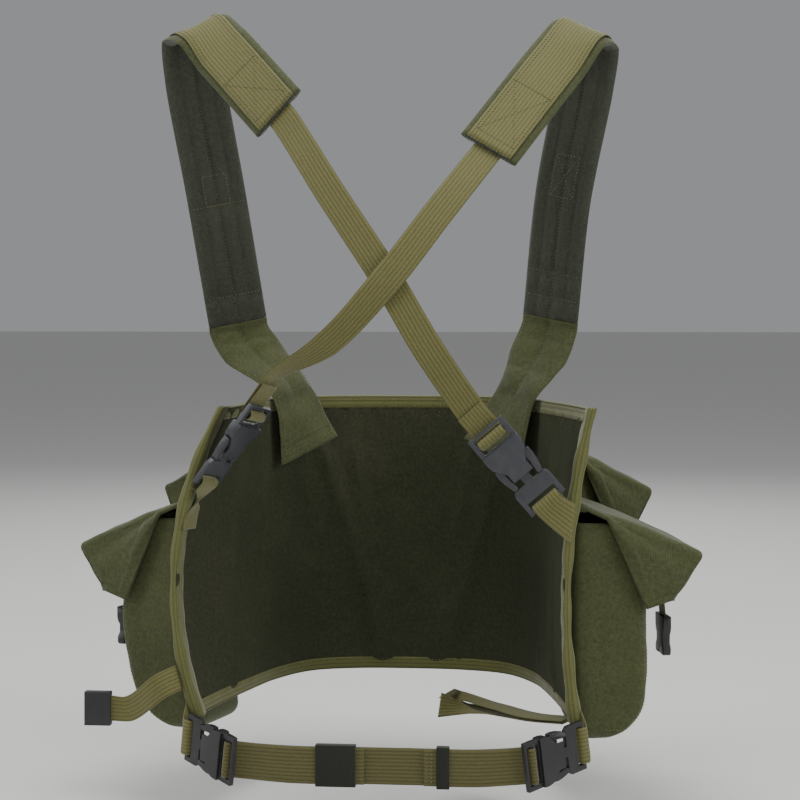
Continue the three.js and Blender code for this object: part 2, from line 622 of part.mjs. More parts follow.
const SIDE_STRAP_Z = PANEL_BOTTOM + 36; // where it is sewn to the rear edge
const SIDE_STRAP_OFF = SEWN_OFF - GAP;
const CLIP = vec(-289, -119, -684); // the strap's end, inside its clip
const upWall = wall(3 - EDGE, SIDE_STRAP_Z + 12, 0).sub(wall(3 - EDGE, SIDE_STRAP_Z - 12, 0)).toArray();
add("side_strap_left", strap([
  [wall(11 - EDGE, SIDE_STRAP_Z, SIDE_STRAP_OFF).toArray(), upWall],
  [wall(3 - EDGE, SIDE_STRAP_Z, SIDE_STRAP_OFF).toArray(), upWall],
  [[-222, -136, SIDE_STRAP_Z - 6], [0, 0, 1]],
  [[CLIP.x + 32, CLIP.y, CLIP.z], [0, 0, 1]],
  [[CLIP.x + 16, CLIP.y, CLIP.z], [0, 0, 1]],
  [CLIP.toArray(), [0, 0, 1]],
], LOOSE_WIDE, WEB_THICK), WEBBING);

// The clip is a flat block closed round the strap's end
function clipSolid(end) {
  const body = new THREE.BoxGeometry(26, 9, LOOSE_WIDE + 8).translate(end.x + 1, end.y, end.z);
  const mouth = new THREE.BoxGeometry(20, WEB_THICK + 4 * GAP, LOOSE_WIDE + 4 * GAP);
  mouth.translate(end.x + 9.4, end.y, end.z);
  return toGeometry(toSolid(body).subtract(toSolid(mouth)));
}
add("side_clip_left", clipSolid(CLIP), NYLON);

export default root;
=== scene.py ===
"""A cloth chest harness with lidded pouches, padded shoulder straps and a waist belt, seen from behind."""

import bmesh
import bpy
import numpy as np
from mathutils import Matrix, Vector


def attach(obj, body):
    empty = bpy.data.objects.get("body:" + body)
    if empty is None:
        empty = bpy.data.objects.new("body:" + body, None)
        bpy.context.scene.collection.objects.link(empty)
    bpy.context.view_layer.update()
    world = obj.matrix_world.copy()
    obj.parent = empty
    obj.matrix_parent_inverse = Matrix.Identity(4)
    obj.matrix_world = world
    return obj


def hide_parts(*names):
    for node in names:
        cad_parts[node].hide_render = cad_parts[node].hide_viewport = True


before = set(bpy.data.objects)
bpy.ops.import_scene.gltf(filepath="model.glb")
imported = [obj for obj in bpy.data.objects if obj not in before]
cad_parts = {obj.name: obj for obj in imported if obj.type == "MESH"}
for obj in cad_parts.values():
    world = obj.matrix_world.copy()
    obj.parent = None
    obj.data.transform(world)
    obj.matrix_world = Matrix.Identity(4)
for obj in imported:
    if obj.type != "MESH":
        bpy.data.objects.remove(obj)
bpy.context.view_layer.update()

MM = 0.001  # shapes are worked out in millimetres and placed in metres
WEB_THICK = 1.6


# ---------------------------------------------------------------- camera
def make_camera():
    """A level camera behind the harness, five degrees round to its right, at mid height.

    Its long lens keeps the near and far edges almost the same size; the shift holds the harness in the frame.
    """
    turn = np.radians(5)
    distance = 1.871
    data = bpy.data.cameras.new("camera")
    data.lens = 81.2
    data.sensor_width = 36
    data.shift_y = -0.1125
    camera = bpy.data.objects.new("camera", data)
    camera.location = (distance * np.sin(turn), -distance * np.cos(turn), -0.292)
    camera.rotation_euler = (np.radians(90), 0, turn)
    bpy.context.collection.objects.link(camera)
    bpy.context.scene.camera = camera


make_camera()


# ---------------------------------------------------------------- materials
def linear(code):
    """Linear RGBA of an sRGB hex colour."""
    srgb = np.array([int(code[i : i + 2], 16) for i in (0, 2, 4)]) / 255
    value = np.where(srgb <= 0.04045, srgb / 12.92, ((srgb + 0.055) / 1.055) ** 2.4)
    return (*value, 1.0)


def add_node(tree, kind, settings=None, links=None):
    """A node of that kind, with its attributes or input values set, and its inputs linked to sockets."""
    node = tree.nodes.new("ShaderNode" + kind)
    for key, value in (settings or {}).items():
        if isinstance(key, str) and hasattr(node, key):
            setattr(node, key, value)
        else:
            node.inputs[key].default_value = value
    for key, socket in (links or {}).items():
        tree.links.new(socket, node.inputs[key])
    return node


def start_material(name, roughness, sheen=0.0, specular=0.5):
    """A new material, its node tree and its shader, with the uniform values on the shader's own sockets."""
    material = bpy.data.materials.new(name)
    material.use_nodes = True
    tree = material.node_tree
    shader = tree.nodes["Principled BSDF"]
    shader.inputs["Roughness"].default_value = roughness
    shader.inputs["Sheen Weight"].default_value = sheen
    shader.inputs["Sheen Roughness"].default_value = 0.45
    shader.inputs["Specular IOR Level"].default_value = specular
    return material, tree, shader


def ramp(tree, low, high, factor, spread=(0.3, 0.7)):
    """Colour between two hex colours by a factor, with the change held between two stops."""
    node = add_node(tree, "ValToRGB", None, {"Fac": factor})
    first, last = node.color_ramp.elements
    first.position, last.position = spread
    first.color, last.color = linear(low), linear(high)
    return node.outputs["Color"]


def wave(tree, value, period):
    """Sine of a length in metres, one cycle to each period in millimetres."""
    scaled = add_node(tree, "Math", {"operation": "MULTIPLY", 1: 2 * np.pi / (period * MM)}, {0: value})
    return add_node(tree, "Math", {"operation": "SINE"}, {0: scaled.outputs[0]}).outputs[0]


def woven(name, dark, light, roughness, thread, rib=0.0, bump=0.5, sheen=0.25, faded=None):
    """A woven nylon: threads cross over and under as the product of two sines of the weave's own lengths.

    thread is the thread spacing in millimetres. rib adds cords of that spacing along the length.
    Patches of age and dust come from noise in object space; faded is the colour they tend to.
    """
    material, tree, shader = start_material(name, roughness, sheen, 0.25)
    length = add_node(tree, "SeparateXYZ", None, {0: add_node(tree, "UVMap", {"uv_map": "weave"}).outputs[0]})
    along, across = length.outputs["X"], length.outputs["Y"]
    place = add_node(tree, "TexCoord").outputs["Object"]
    threads = {0: wave(tree, along, 2 * thread), 1: wave(tree, across, 2 * thread)}
    crossing = add_node(tree, "Math", {"operation": "MULTIPLY"}, threads).outputs[0]
    height = add_node(tree, "MapRange", {"From Min": -1.0, "From Max": 1.0}, {"Value": crossing}).outputs[0]
    if rib:
        cords = add_node(tree, "Math", {"operation": "ABSOLUTE"}, {0: wave(tree, across, 2 * rib)}).outputs[0]
        cords = add_node(tree, "Math", {"operation": "POWER", 1: 0.6}, {0: cords}).outputs[0]
        height = add_node(tree, "Mix", {"data_type": "FLOAT", 0: 0.85}, {2: height, 3: cords}).outputs[0]
    broad = add_node(tree, "TexNoise", {"Scale": 9.0, "Detail": 5.0, "Roughness": 0.6}, {"Vector": place})
    fine = add_node(tree, "TexNoise", {"Scale": 620.0 if rib else 300.0, "Detail": 3.0}, {"Vector": place})
    tone = ramp(tree, dark, light, height, (0.1, 0.9))
    shade = ramp(tree, "a8a8a8", "ffffff", fine.outputs["Fac"])
    speckle = {"data_type": "RGBA", "blend_type": "MULTIPLY", 0: 0.35 if rib else 0.6}
    mixed = add_node(tree, "Mix", speckle, {6: tone, 7: shade})
    worn = add_node(tree, "Mix", {"data_type": "RGBA", 7: linear(faded or light)}, {6: mixed.outputs[2]})
    amount = add_node(
        tree, "MapRange", {"From Min": 0.5, "From Max": 0.8, "To Max": 0.3}, {"Value": broad.outputs["Fac"]}
    )
    tree.links.new(amount.outputs[0], worn.inputs[0])
    tree.links.new(worn.outputs[2], shader.inputs["Base Color"])
    relief = add_node(tree, "Bump", {"Strength": bump, "Distance": 0.0005}, {"Height": height})
    under = {"Height": broad.outputs["Fac"], "Normal": relief.outputs[0]}
    soft = add_node(tree, "Bump", {"Strength": 0.25, "Distance": 0.002}, under)
    tree.links.new(soft.outputs[0], shader.inputs["Normal"])
    return material


def moulded(name, dark, light, roughness):
    """Moulded acetal: a faint satin grain, a little lighter where handling has scuffed it."""
    material, tree, shader = start_material(name, roughness, 0.0, 0.5)
    place = add_node(tree, "TexCoord").outputs["Object"]
    scuffs = add_node(tree, "TexNoise", {"Scale": 90.0, "Detail": 6.0, "Roughness": 0.7}, {"Vector": place})
    grain = add_node(tree, "TexNoise", {"Scale": 1400.0, "Detail": 2.0}, {"Vector": place})
    tree.links.new(ramp(tree, dark, light, scuffs.outputs["Fac"], (0.4, 0.8)), shader.inputs["Base Color"])
    spread = {"To Min": roughness - 0.1, "To Max": roughness + 0.15}
    gloss = add_node(tree, "MapRange", spread, {"Value": scuffs.outputs["Fac"]})
    tree.links.new(gloss.outputs[0], shader.inputs["Roughness"])
    relief = add_node(tree, "Bump", {"Strength": 0.25, "Distance": 0.0002}, {"Height": grain.outputs["Fac"]})
    tree.links.new(relief.outputs[0], shader.inputs["Normal"])
    return material


# Pack cloth, plain woven from textured nylon: matt, slightly furry, with threads that catch the light.
# Its threads are 0.7 mm apart, drawn at 1.1 mm so that they show.
CLOTH = woven("textured_nylon_pack_cloth", "40452a", "585d3a", 0.88, 1.1, bump=0.35, faded="656843")
# The same cloth inside, its colours darker than the outside's as painted shade for the panel's shaded inside, and
# rubbed smooth.
INSIDE_PAINTED_SHADE = woven("coated_cloth_inside_painted_shade", "323525", "434632", 0.97, 1.1, bump=0.2, sheen=0.0, faded="4a4d37")
# Mesh-backed padding cover: greyer and darker than the webbing, with a dull nap.
LINING = woven("brushed_pad_lining", "3a3d33", "4d5044", 0.95, 1.4, bump=0.4, faded="54564a")
# Flat woven nylon webbing: a row of raised cords along it, with a slight gloss on each cord.
WEBBING = woven("ribbed_nylon_webbing", "504f2b", "706e41", 0.7, 1.3, rib=3.7, bump=0.7, faded="737148")
TAPE = woven("grosgrain_binding_tape", "4c4e2a", "67693c", 0.75, 1.0, rib=2.6, bump=0.5, faded="6c6d42")
BELT = woven("worn_belt_webbing", "444225", "5f5c37", 0.75, 1.3, rib=3.5, bump=0.7, faded="64613d")
ELASTIC = woven("knitted_black_elastic", "181914", "2b2c24", 0.85, 1.2, rib=1.8, bump=0.8, faded="30312a")
THREAD = woven("polyester_sewing_thread", "6a6640", "8a8558", 0.6, 0.6, bump=0.2)
BUCKLE = moulded("moulded_acetal_grey", "323337", "414247", 0.42)
BLACK = moulded("moulded_acetal_black", "1b1b1c", "29292b", 0.45)


# ---------------------------------------------------------------- shapes
def ease(x):
    """Smooth step from 0 to 1."""
    x = np.clip(x, 0, 1)
    return x * x * (3 - 2 * x)


def crumple(points, size, seed):
    """Soft unevenness from -1 to 1: a seeded random lattice, eased between its corners, size mm apart."""
    lattice = np.random.default_rng(seed).uniform(-1, 1, (24, 24, 24))
    place = np.asarray(points) / size + 100
    base = np.floor(place).astype(int)
    part = ease(place - base)
    total = 0
    for dx in (0, 1):
        for dy in (0, 1):
            for dz in (0, 1):
                corner = (base + (dx, dy, dz)) % 24
                share = np.prod(np.where((dx, dy, dz), part, 1 - part), axis=-1)
                total = total + share * lattice[corner[..., 0], corner[..., 1], corner[..., 2]]
    return total


def unit(vectors):
    """Each vector at length one."""
    return vectors / np.maximum(np.linalg.norm(vectors, axis=-1, keepdims=True), 1e-9)


def lengths(points):
    """Length run along a line of points, up to each of them."""
    return np.concatenate([[0], np.cumsum(np.linalg.norm(np.diff(points, axis=0), axis=1))])


def paired(along, across):
    """Lengths along and across as pairs, spread to one shape."""
    return np.stack(np.broadcast_arrays(along, across), axis=-1)


def there_and_back(there, back):
    """Values round a closed section: along one face, back along the other, without doubling its ends."""
    return np.concatenate([there, back[..., ::-1][..., 1:-1]], axis=-1)


def curve(points, at):
    """Smooth curve through points: a cubic between each pair, its end slopes set by the chords' square roots.

    at is in points: 2.5 is half way from the third point to the fourth.
    """
    points = np.asarray(points, float)
    every = np.vstack([2 * points[0] - points[1], points, 2 * points[-1] - points[-2]])
    first = np.clip(np.floor(at).astype(int), 0, len(points) - 2)
    part = (at - first)[:, None]
    p0, p1, p2, p3 = (every[first + k] for k in range(4))
    d0, d1, d2 = (np.sqrt(np.linalg.norm(b - a, axis=1))[:, None] for a, b in ((p0, p1), (p1, p2), (p2, p3)))
    m1 = ((p1 - p0) / d0 - (p2 - p0) / (d0 + d1) + (p2 - p1) / d1) * d1
    m2 = ((p2 - p1) / d1 - (p3 - p1) / (d1 + d2) + (p3 - p2) / d2) * d1
    return p1 + m1 * part + (3 * (p2 - p1) - 2 * m1 - m2) * part**2 + (2 * (p1 - p2) + m1 + m2) * part**3


class Strap:
    """The middle surface of a flat strap: a smooth centre curve, its width turning evenly between rows.

    rows are [centre, direction of the width, slant]; a slant leaves the width exactly along its direction.
    """

    def __init__(self, rows, wide):
        self.last = len(rows) - 1
        self.centres = np.array([row[0] for row in rows], float)
        self.wide = wide
        along = self.tangent(np.arange(self.last + 1) / self.last)
        widths = unit(np.array([row[1] for row in rows], float))
        square = unit(widths - along * np.sum(widths * along, axis=1, keepdims=True))
        slants = np.array([row[2] if len(row) > 2 else 0 for row in rows])[:, None]
        self.widths = np.where(slants > 0, widths * slants, square) * wide

    def tangent(self, u):
        """Direction of the centre line at u."""
        low, high = np.clip(u - 1e-4, 0, 1), np.clip(u + 1e-4, 0, 1)
        return unit(curve(self.centres, high * self.last) - curve(self.centres, low * self.last))

    def at(self, u, v):
        """Points at u along and v across, both 0 to 1 and of one shape, running straight on past either end."""
        u, v = np.broadcast_arrays(np.asarray(u, float), np.asarray(v, float))
        flat = u.ravel()
        held = np.clip(flat, 0, 1)
        place = curve(self.centres, held * self.last) + self.tangent(held) * (flat - held)[:, None] * 100
        k = np.minimum((held * self.last).astype(int), self.last - 1)
        part = (held * self.last - k)[:, None]
        width = self.widths[k] * (1 - part) + self.widths[k + 1] * part
        return (place + width * (v.ravel() - 0.5)[:, None]).reshape(*u.shape, 3)

    def normal(self, u, v):
        """The surface's upward direction: along crossed with across."""
        along = self.at(u + 1e-3, v) - self.at(u - 1e-3, v)
        across = self.at(u, v + 1e-3) - self.at(u, v - 1e-3)
        return unit(np.cross(along, across))

    def lifted(self, u, v, lift):
        """Points lifted off the surface along its normal."""
        u, v = np.broadcast_arrays(np.asarray(u, float), np.asarray(v, float))
        return self.at(u, v) + self.normal(u, v) * np.broadcast_to(lift, u.shape)[..., None]


def finish(name, mesh, weave, body, nodes):
    """A mesh in metres as a piece of the scene, with a UV map that holds each vertex's place in the weave."""
    layer = mesh.uv_layers.new(name="weave")
    corners = np.empty(len(mesh.loops), np.int32)
    mesh.loops.foreach_get("vertex_index", corners)
    layer.data.foreach_set("uv", weave[corners].ravel())
    mesh.polygons.foreach_set("use_smooth", np.ones(len(mesh.polygons), bool))
    piece = bpy.data.objects.new(name, mesh)
    bpy.context.collection.objects.link(piece)
    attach(piece, body)
    if nodes:
        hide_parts(*nodes)
    return piece


def mesh_piece(name, points, faces, weave, material, body, nodes=()):
    """A finished piece from millimetre points, faces and weave lengths."""
    mesh = bpy.data.meshes.new(name)
    points = np.asarray(points, float).reshape(-1, 3)
    mesh.from_pydata(points * MM, [], [list(f) for f in faces])
    mesh.validate()
    mesh.materials.append(material)
    return finish(name, mesh, np.asarray(weave, float).reshape(-1, 2) * MM, body, nodes)


def thicken(piece, name, thick):
    """Gives a one-skin piece its cloth's thickness, inwards."""
    wall_of = piece.modifiers.new(name, "SOLIDIFY")
    wall_of.thickness = thick * MM
    wall_of.offset = -1


def closed_piece(name, points, weave, material, body, nodes=()):
    """A finished piece from rows of closed rings of points, capped at both ends and facing out."""
    faces = outward(points, ring_faces(*points.shape[:2]))
    return mesh_piece(name, points, faces, weave, material, body, nodes)


def grid_faces(rows, columns):
    """Four-sided faces between the neighbours of a grid of points."""
    i, j = np.meshgrid(np.arange(rows - 1), np.arange(columns - 1), indexing="ij")
    first = i * columns + j
    return np.stack([first, first + 1, first + columns + 1, first + columns], axis=-1).reshape(-1, 4)


def ring_faces(rows, ring, capped=True):
    """Faces of a closed ring carried along rows, with its two ends closed by one face each."""
    i, j = np.meshgrid(np.arange(rows - 1), np.arange(ring), indexing="ij")
    a, b = i * ring + j, i * ring + (j + 1) % ring
    faces = np.stack([a, b, b + ring, a + ring], axis=-1).reshape(-1, 4).tolist()
    if capped:
        faces.append(list(range(ring))[::-1])
        faces.append(list(range((rows - 1) * ring, rows * ring)))
    return faces


def outward(points, faces):
    """The faces, all turned round if the closed shape they make is inside out."""
    p = np.asarray(points, float).reshape(-1, 3)
    quads = np.array([f for f in faces if len(f) == 4])
    a, b, c, d = (p[quads[:, k]] for k in range(4))
    volume = np.sum(a * (np.cross(b, c) + np.cross(c, d)))
    return faces if volume > 0 else [list(f)[::-1] for f in faces]


def flat_section(count):
    """Section of a flat band: across from -1 to 1 and back, and its height, 1 but round at the edges."""
    across = np.sin(np.linspace(-np.pi / 2, np.pi / 2, count))
    height = np.sqrt(np.clip(1 - np.abs(across) ** 10, 0, 1))
    return there_and_back(across, across), there_and_back(height, -height)


def webbing(name, strap, material, nodes, body="harness", steps=90, lift=0.0, sway=0.0, seed=1):
    """A band of webbing on a strap's surface: a flat section with round edges, slowly twisted and rippled."""
    u = np.linspace(0, 1, steps)[:, None]
    across, height = flat_section(15)
    v = across[None, :] / 2 * 0.999 + 0.5
    rest = strap.at(u, np.full_like(u, 0.5))[:, 0]
    ripple = crumple(rest, 38, seed) * sway * np.sin(np.pi * u[:, 0])
    curl = crumple(rest, 60, seed + 9) * sway * 0.7
    raised = lift + height[None, :] * WEB_THICK / 2 + ripple[:, None]
    raised = raised + curl[:, None] * (across[None, :] ** 2 - 0.4)
    points = strap.lifted(np.broadcast_to(u, raised.shape), np.broadcast_to(v, raised.shape), raised)
    run = lengths(rest)
    weave = paired(run[:, None], across[None, :] * strap.wide / 2)
    return closed_piece(name, points, weave, material, body, nodes)


# Stitches laid on the cloth: every seam is a row of short thread beads
SEAMS = {}


def seam(body, path, normals, pitch=3.6, long=2.5, thick=0.42, raised=0.15):
    """Adds a row of stitches along a path: pointed four-sided beads, a pitch apart, on the cloth."""
    path, normals = np.asarray(path, float), np.asarray(normals, float)
    run = lengths(path)
    if run[-1] < pitch:
        return
    middle = np.arange(pitch / 2, run[-1], pitch)
    place = lambda s: np.stack([np.interp(s, run, path[:, k]) for k in range(3)], axis=1)
    up = unit(np.stack([np.interp(middle, run, normals[:, k]) for k in range(3)], axis=1))
    along = unit(place(middle + 0.5) - place(middle - 0.5))
    side = unit(np.cross(up, along))
    centre = place(middle) + up * raised
    beads = np.stack(
        [
            centre - along * long / 2 - up * 0.2,
            centre + side * thick,
            centre + up * thick,
            centre - side * thick,
            centre - up * thick,
            centre + along * long / 2 - up * 0.2,
        ],
        axis=1,
    )
    SEAMS.setdefault(body, []).append(beads.reshape(-1, 3))


def sew_all():
    """One mesh of all the stitches on each body."""
    for body, rows in SEAMS.items():
        points = np.vstack(rows)
        one = np.array([[0, 2, 1], [0, 3, 2], [0, 4, 3], [0, 1, 4], [5, 1, 2], [5, 2, 3], [5, 3, 4], [5, 4, 1]])
        faces = (np.arange(len(points) // 6)[:, None, None] * 6 + one).reshape(-1, 3).tolist()
        mesh_piece("stitching_" + body, points, faces, points[:, :2], THREAD, body)


# ---------------------------------------------------------------- shoulder straps
PAD_WIDE, PAD_THICK, PAD_WEB = 64, 9, 50
PAD_ROWS = {
    "left": [
        [(-184, 78, -305), (0.94, 0.34, 0)],
        [(-203, 47, -163), (0.94, 0.34, 0.05)],
        [(-219, 20, -50), (0.95, 0.25, 0.1)],
        [(-220, 8, -12), (0.95, 0.15, 0.22)],
        [(-207, -12, 0), (0.9, 0.05, 0.42)],
        [(-180, -36, -26), (0.78, 0, 0.6)],
        [(-113, -88, -97), (0.68, -0.09, 0.73)],
    ],
    "right": [
        [(155, 78, -300), (0.9, -0.4, 0)],
        [(168, 47, -175), (0.9, -0.4, -0.05)],
        [(190, 20, -60), (0.92, -0.3, -0.12)],
        [(195, 8, -20), (0.93, -0.18, -0.25)],
        [(188, -12, -8), (0.9, -0.12, -0.4)],
        [(162, -37, -42), (0.86, -0.16, -0.5)],
        [(95, -95, -135), (0.83, -0.19, -0.55)],
    ],
}
PADS = {side: Strap(rows, PAD_WIDE) for side, rows in PAD_ROWS.items()}
CROSS_SEAMS = {"left": (0.034, 0.147), "right": (0.029, 0.064)}


def make_pad(side):
    """A padded strap: flat on top under its webbing, and four long puffed channels below.

    The underside swells as the root of a sine across each channel, and dips where it is stitched across.
    """
    strap, steps = PADS[side], 150
    u = np.linspace(0, 1, steps)[:, None]
    across = np.sin(np.linspace(-np.pi / 2, np.pi / 2, 41))
    rim = np.sqrt(np.clip(1 - np.abs(across) ** 9, 0, 1))
    v = across / 2 + 0.5
    spread = strap.at(u * np.ones(41), v[None, :] * np.ones((steps, 1)))
    dent = sum(np.exp(-(((u - c) / 0.006) ** 2)) for c in CROSS_SEAMS[side])
    ends = ease(u / 0.02) * ease((1 - u) / 0.02)
    puff = np.abs(np.sin(4 * np.pi * v))[None, :] ** 0.55 * (1 - 0.75 * dent)
    lumps = crumple(spread, 26, 4) * 0.7 + crumple(spread, 11, 5) * 0.25
    below = rim * (2.0 + (3.6 * puff + lumps * puff) * (0.3 + 0.7 * ends))
    above = rim * (3.9 + 0.35 * crumple(spread, 20, 6) - 1.4 * np.abs(across) ** 14)
    lift, v_ring = there_and_back(above, -below), there_and_back(v, v)
    points = strap.lifted(u * np.ones_like(lift), v_ring[None, :] * np.ones_like(lift), lift)
    weave = paired(u * 520, v_ring[None, :] * PAD_WIDE)
    pad = closed_piece("pad_" + side, points, weave, LINING, "harness", ["shoulder_pad_" + side])
    pad.data.materials.append(CLOTH)
    ring_at = np.tile(np.arange(lift.shape[1]), steps - 1)
    covered = np.zeros(len(pad.data.polygons), np.int32)
    covered[: len(ring_at)] = ring_at < 40
    pad.data.polygons.foreach_set("material_index", covered)
    webbing(
        "pad_top_webbing_" + side, Wider(strap, PAD_WEB), WEBBING, ["pad_webbing_" + side],
        steps=140, lift=PAD_THICK / 2 + 1.0, sway=0.35, seed=7,
    )
    rows = np.linspace(0.004, 0.996, 140)
    margin = PAD_WEB / PAD_WIDE / 2
    sew = lambda u, v, lift: seam("harness", strap.lifted(u, v, lift), strap.normal(u, v) * np.sign(lift))
    for edge in (-1, 1):
        for inset in (3.0, 6.5):
            sew(rows, np.full(140, 0.5 + edge * (margin - inset / PAD_WIDE)), 6.4)
        sew(rows, np.full(140, 0.5 + edge * 0.25), -2.3)
    sew(rows, np.full(140, 0.5), -2.3)
    for c in CROSS_SEAMS[side]:
        sew(np.full(40, c), np.linspace(0.06, 0.94, 40), -3.1)
    box_u, box_v = (0.9, 0.985), (0.5 - margin + 0.06, 0.5 + margin - 0.06)
    corners = [(box_u[0], box_v[0]), (box_u[1], box_v[1]), (box_u[1], box_v[0]), (box_u[0], box_v[1])]
    for a, b in ((0, 1), (1, 2), (2, 3), (3, 0), (0, 3)):
        line = np.linspace(corners[a], corners[b], 30)
        sew(line[:, 0], line[:, 1], 6.5)
    patch = (0.147, 0.188) if side == "left" else (0.17, 0.228)
    corners = [(patch[0], 0.3), (patch[1], 0.3), (patch[1], 0.7), (patch[0], 0.7)]
    pairs = [(0, 1), (1, 2), (2, 3), (3, 0)] + ([(0, 2), (1, 3)] if side == "right" else [])
    for a, b in pairs:
        line = np.linspace(corners[a], corners[b], 20)
        sew(line[:, 0], line[:, 1], -5.2)


class Wider(Strap):
    """The same surface as another strap's, with a width of its own about the same centre."""

    def __init__(self, other, wide):
        self.other, self.wide, self.share = other, wide, wide / other.wide

    def at(self, u, v):
        """Points of the other strap, with v taken about its middle."""
        return self.other.at(u, (np.asarray(v, float) - 0.5) * self.share + 0.5)


make_pad("left")
make_pad("right")


class Between(Strap):
    """A surface between two edge curves, each given by its rows' points."""

    def __init__(self, left, right):
        self.left, self.right = np.array(left, float), np.array(right, float)
        self.last = len(left) - 1
        self.wide = np.linalg.norm(self.right[-1] - self.left[-1])

    def at(self, u, v):
        """Points shared between the two edges by v."""
        u, v = np.broadcast_arrays(np.asarray(u, float), np.asarray(v, float))
        held = np.clip(u.ravel(), 0, 1)
        past = (u.ravel() - held)[:, None] * 80
        sides = []
        for edge in (self.left, self.right):
            low, high = (curve(edge, np.clip(held + d, 0, 1) * self.last) for d in (-1e-4, 1e-4))
            step = unit(high - low)
            sides.append(curve(edge, held * self.last) + step * past)
        share = v.ravel()[:, None]
        return (sides[0] * (1 - share) + sides[1] * share).reshape(*u.shape, 3)


LOWER = {
    "left": [
        [(-194, 58, -348), (-136, 94, -332)],
        [(-143, 38, -379), (-112, 88, -364)],
        [(-134, 38, -402), (-98, 92, -390)],
        [(-131, 46, -458), (-76, 94, -430)],
    ],
    "right": [
        [(112, 92, -336), (172, 56, -348)],
        [(104, 88, -364), (145, 38, -379)],
        [(90, 92, -390), (134, 38, -402)],
        [(62, 96, -432), (126, 46, -462)],
    ],
}


def make_lower(side):
    """A soft strap from the pad down into the panel, puffed in two tubes, ending in a hemmed square tab.

    Each tube swells as the root of a sine across it, and cross folds come from a crease where it bends.
    """
    start = [[PADS[side].at(u, k) for k in (0, 1)] for u in (-0.007, -0.1)]
    rows = start + LOWER[side]
    surface = Between([r[0] for r in rows], [r[1] for r in rows])
    steps = 90
    u = np.linspace(0, 1, steps)[:, None]
    across = np.sin(np.linspace(-np.pi / 2, np.pi / 2, 33))
    v = across / 2 + 0.5
    rim = np.sqrt(np.clip(1 - np.abs(across) ** 8, 0, 1))
    spread = surface.at(u * np.ones(33), v[None, :] * np.ones((steps, 1)))
    puffed = 1 - ease((u - 0.62) / 0.12)
    tubes = np.abs(np.sin(2 * np.pi * v))[None, :] ** 0.6 * puffed
    fold = np.exp(-(((u - 0.5) / 0.035) ** 2)) * 1.1 + 0.8 * np.exp(-(((u - 0.3) / 0.03) ** 2))
    hem = np.exp(-(((u - 0.945) / 0.012) ** 2)) * 0.5
    rough = crumple(spread, 24, 31) * 1.6 + crumple(spread, 10, 32) * 0.6
    half = rim * (1.5 + (4.2 - 1.6 * fold) * tubes - hem)
    lift, ring_v = there_and_back(half + rough, rough - half), there_and_back(v, v)
    points = surface.lifted(u * np.ones_like(lift), ring_v[None, :] * np.ones_like(lift), lift)
    weave = paired(u * 190, ring_v[None, :] * 64)
    piece = closed_piece("lower_pad_" + side, points, weave, CLOTH, "harness", ["lower_strap_" + side])
    for face in (-1, 1):
        sew = lambda u, v, lift: seam("harness", surface.lifted(u, v, lift * face), surface.normal(u, v) * face)
        line = np.linspace(0.03, 0.97, 60)
        sew(line[:40], np.full(40, 0.5), 1.7)
        for edge in (0.06, 0.94):
            sew(line, np.full(60, edge), 3.2)
        for row in (0.02, 0.67, 0.925, 0.965):
            sew(np.full(30, row), np.linspace(0.07, 0.93, 30), 2.2)


make_lower("left")
make_lower("right")


# ---------------------------------------------------------------- buckles and webbing
def buckle_frame(origin, along, out, stretch):
    """A buckle's axes as columns (x across, y from plug to socket, z out of its face), and its origin."""
    y = unit(np.array(along, float))
    z = np.array(out, float)
    z = unit(z - y * (z @ y))
    return np.stack([np.cross(y, z), y * stretch, z], axis=1), np.array(origin, float)


BUCKLES = {
    "shoulder_right": (30, buckle_frame((125.5, -132.5, -443.8), (-0.654, -0.05, 0.754), (-0.1, -0.98, 0), 1)),
    "shoulder_left": (30, buckle_frame((-153.5, -131.5, -425.8), (0.596, -0.067, 0.8), (0.745, -0.36, -0.555), 1)),
    "waist_right": (35, buckle_frame((161.5, -152, -713), (-0.7, -0.66, -0.15), (0.66, -0.7, 0), 0.8)),
    "waist_left": (35, buckle_frame((-171, -152, -713), (0.7, -0.66, -0.15), (-0.66, -0.7, 0), 0.8)),
}


def rows_in(buckle, pairs, sign=1):
    """Strap rows at [y, z] places of a buckle's own frame, across it; a third number is a row's slant."""
    axes, origin = BUCKLES[buckle][1]
    return [(origin + axes @ (0, y, z), axes[:, 0] * sign, *slant) for y, z, *slant in pairs]


# In behind the ladder, through its first slot, round the bar and out behind again
LADDER_TURN = [
    (66, -8), (52, -7.7), (42, -7.2), (36.5, -6.2), (34.1, -3.2), (34.3, 0.4), (36, 3.6), (39, 4.65),
    (42, 3.6), (43.7, 0.6), (44.3, -2.2), (46, -4.9), (50, -5.3), (60, -5.3), (72, -5.3),
]
# Round the plug's bar and back
LOOP_TURN = [
    (-48, 4.2), (-41.5, 4.65), (-38.2, 3.3), (-36.85, 0), (-38.2, -3.3), (-41.5, -4.65), (-48, -4.2), (-54, -2.6),
]
# The waist loops come in on a slant, and their sewn end is short
WAIST_TURN = [(-48, 4.2, 1), *LOOP_TURN[1:-2], (-44.6, -4.6)]


def pad_end(side):
    """Two rows in line with a pad's back end."""
    pad = PADS[side]
    across = pad.at(1, 1) - pad.at(1, 0)
    return [(pad.at(u, 0.5), across) for u in (1.007, 1.1)]


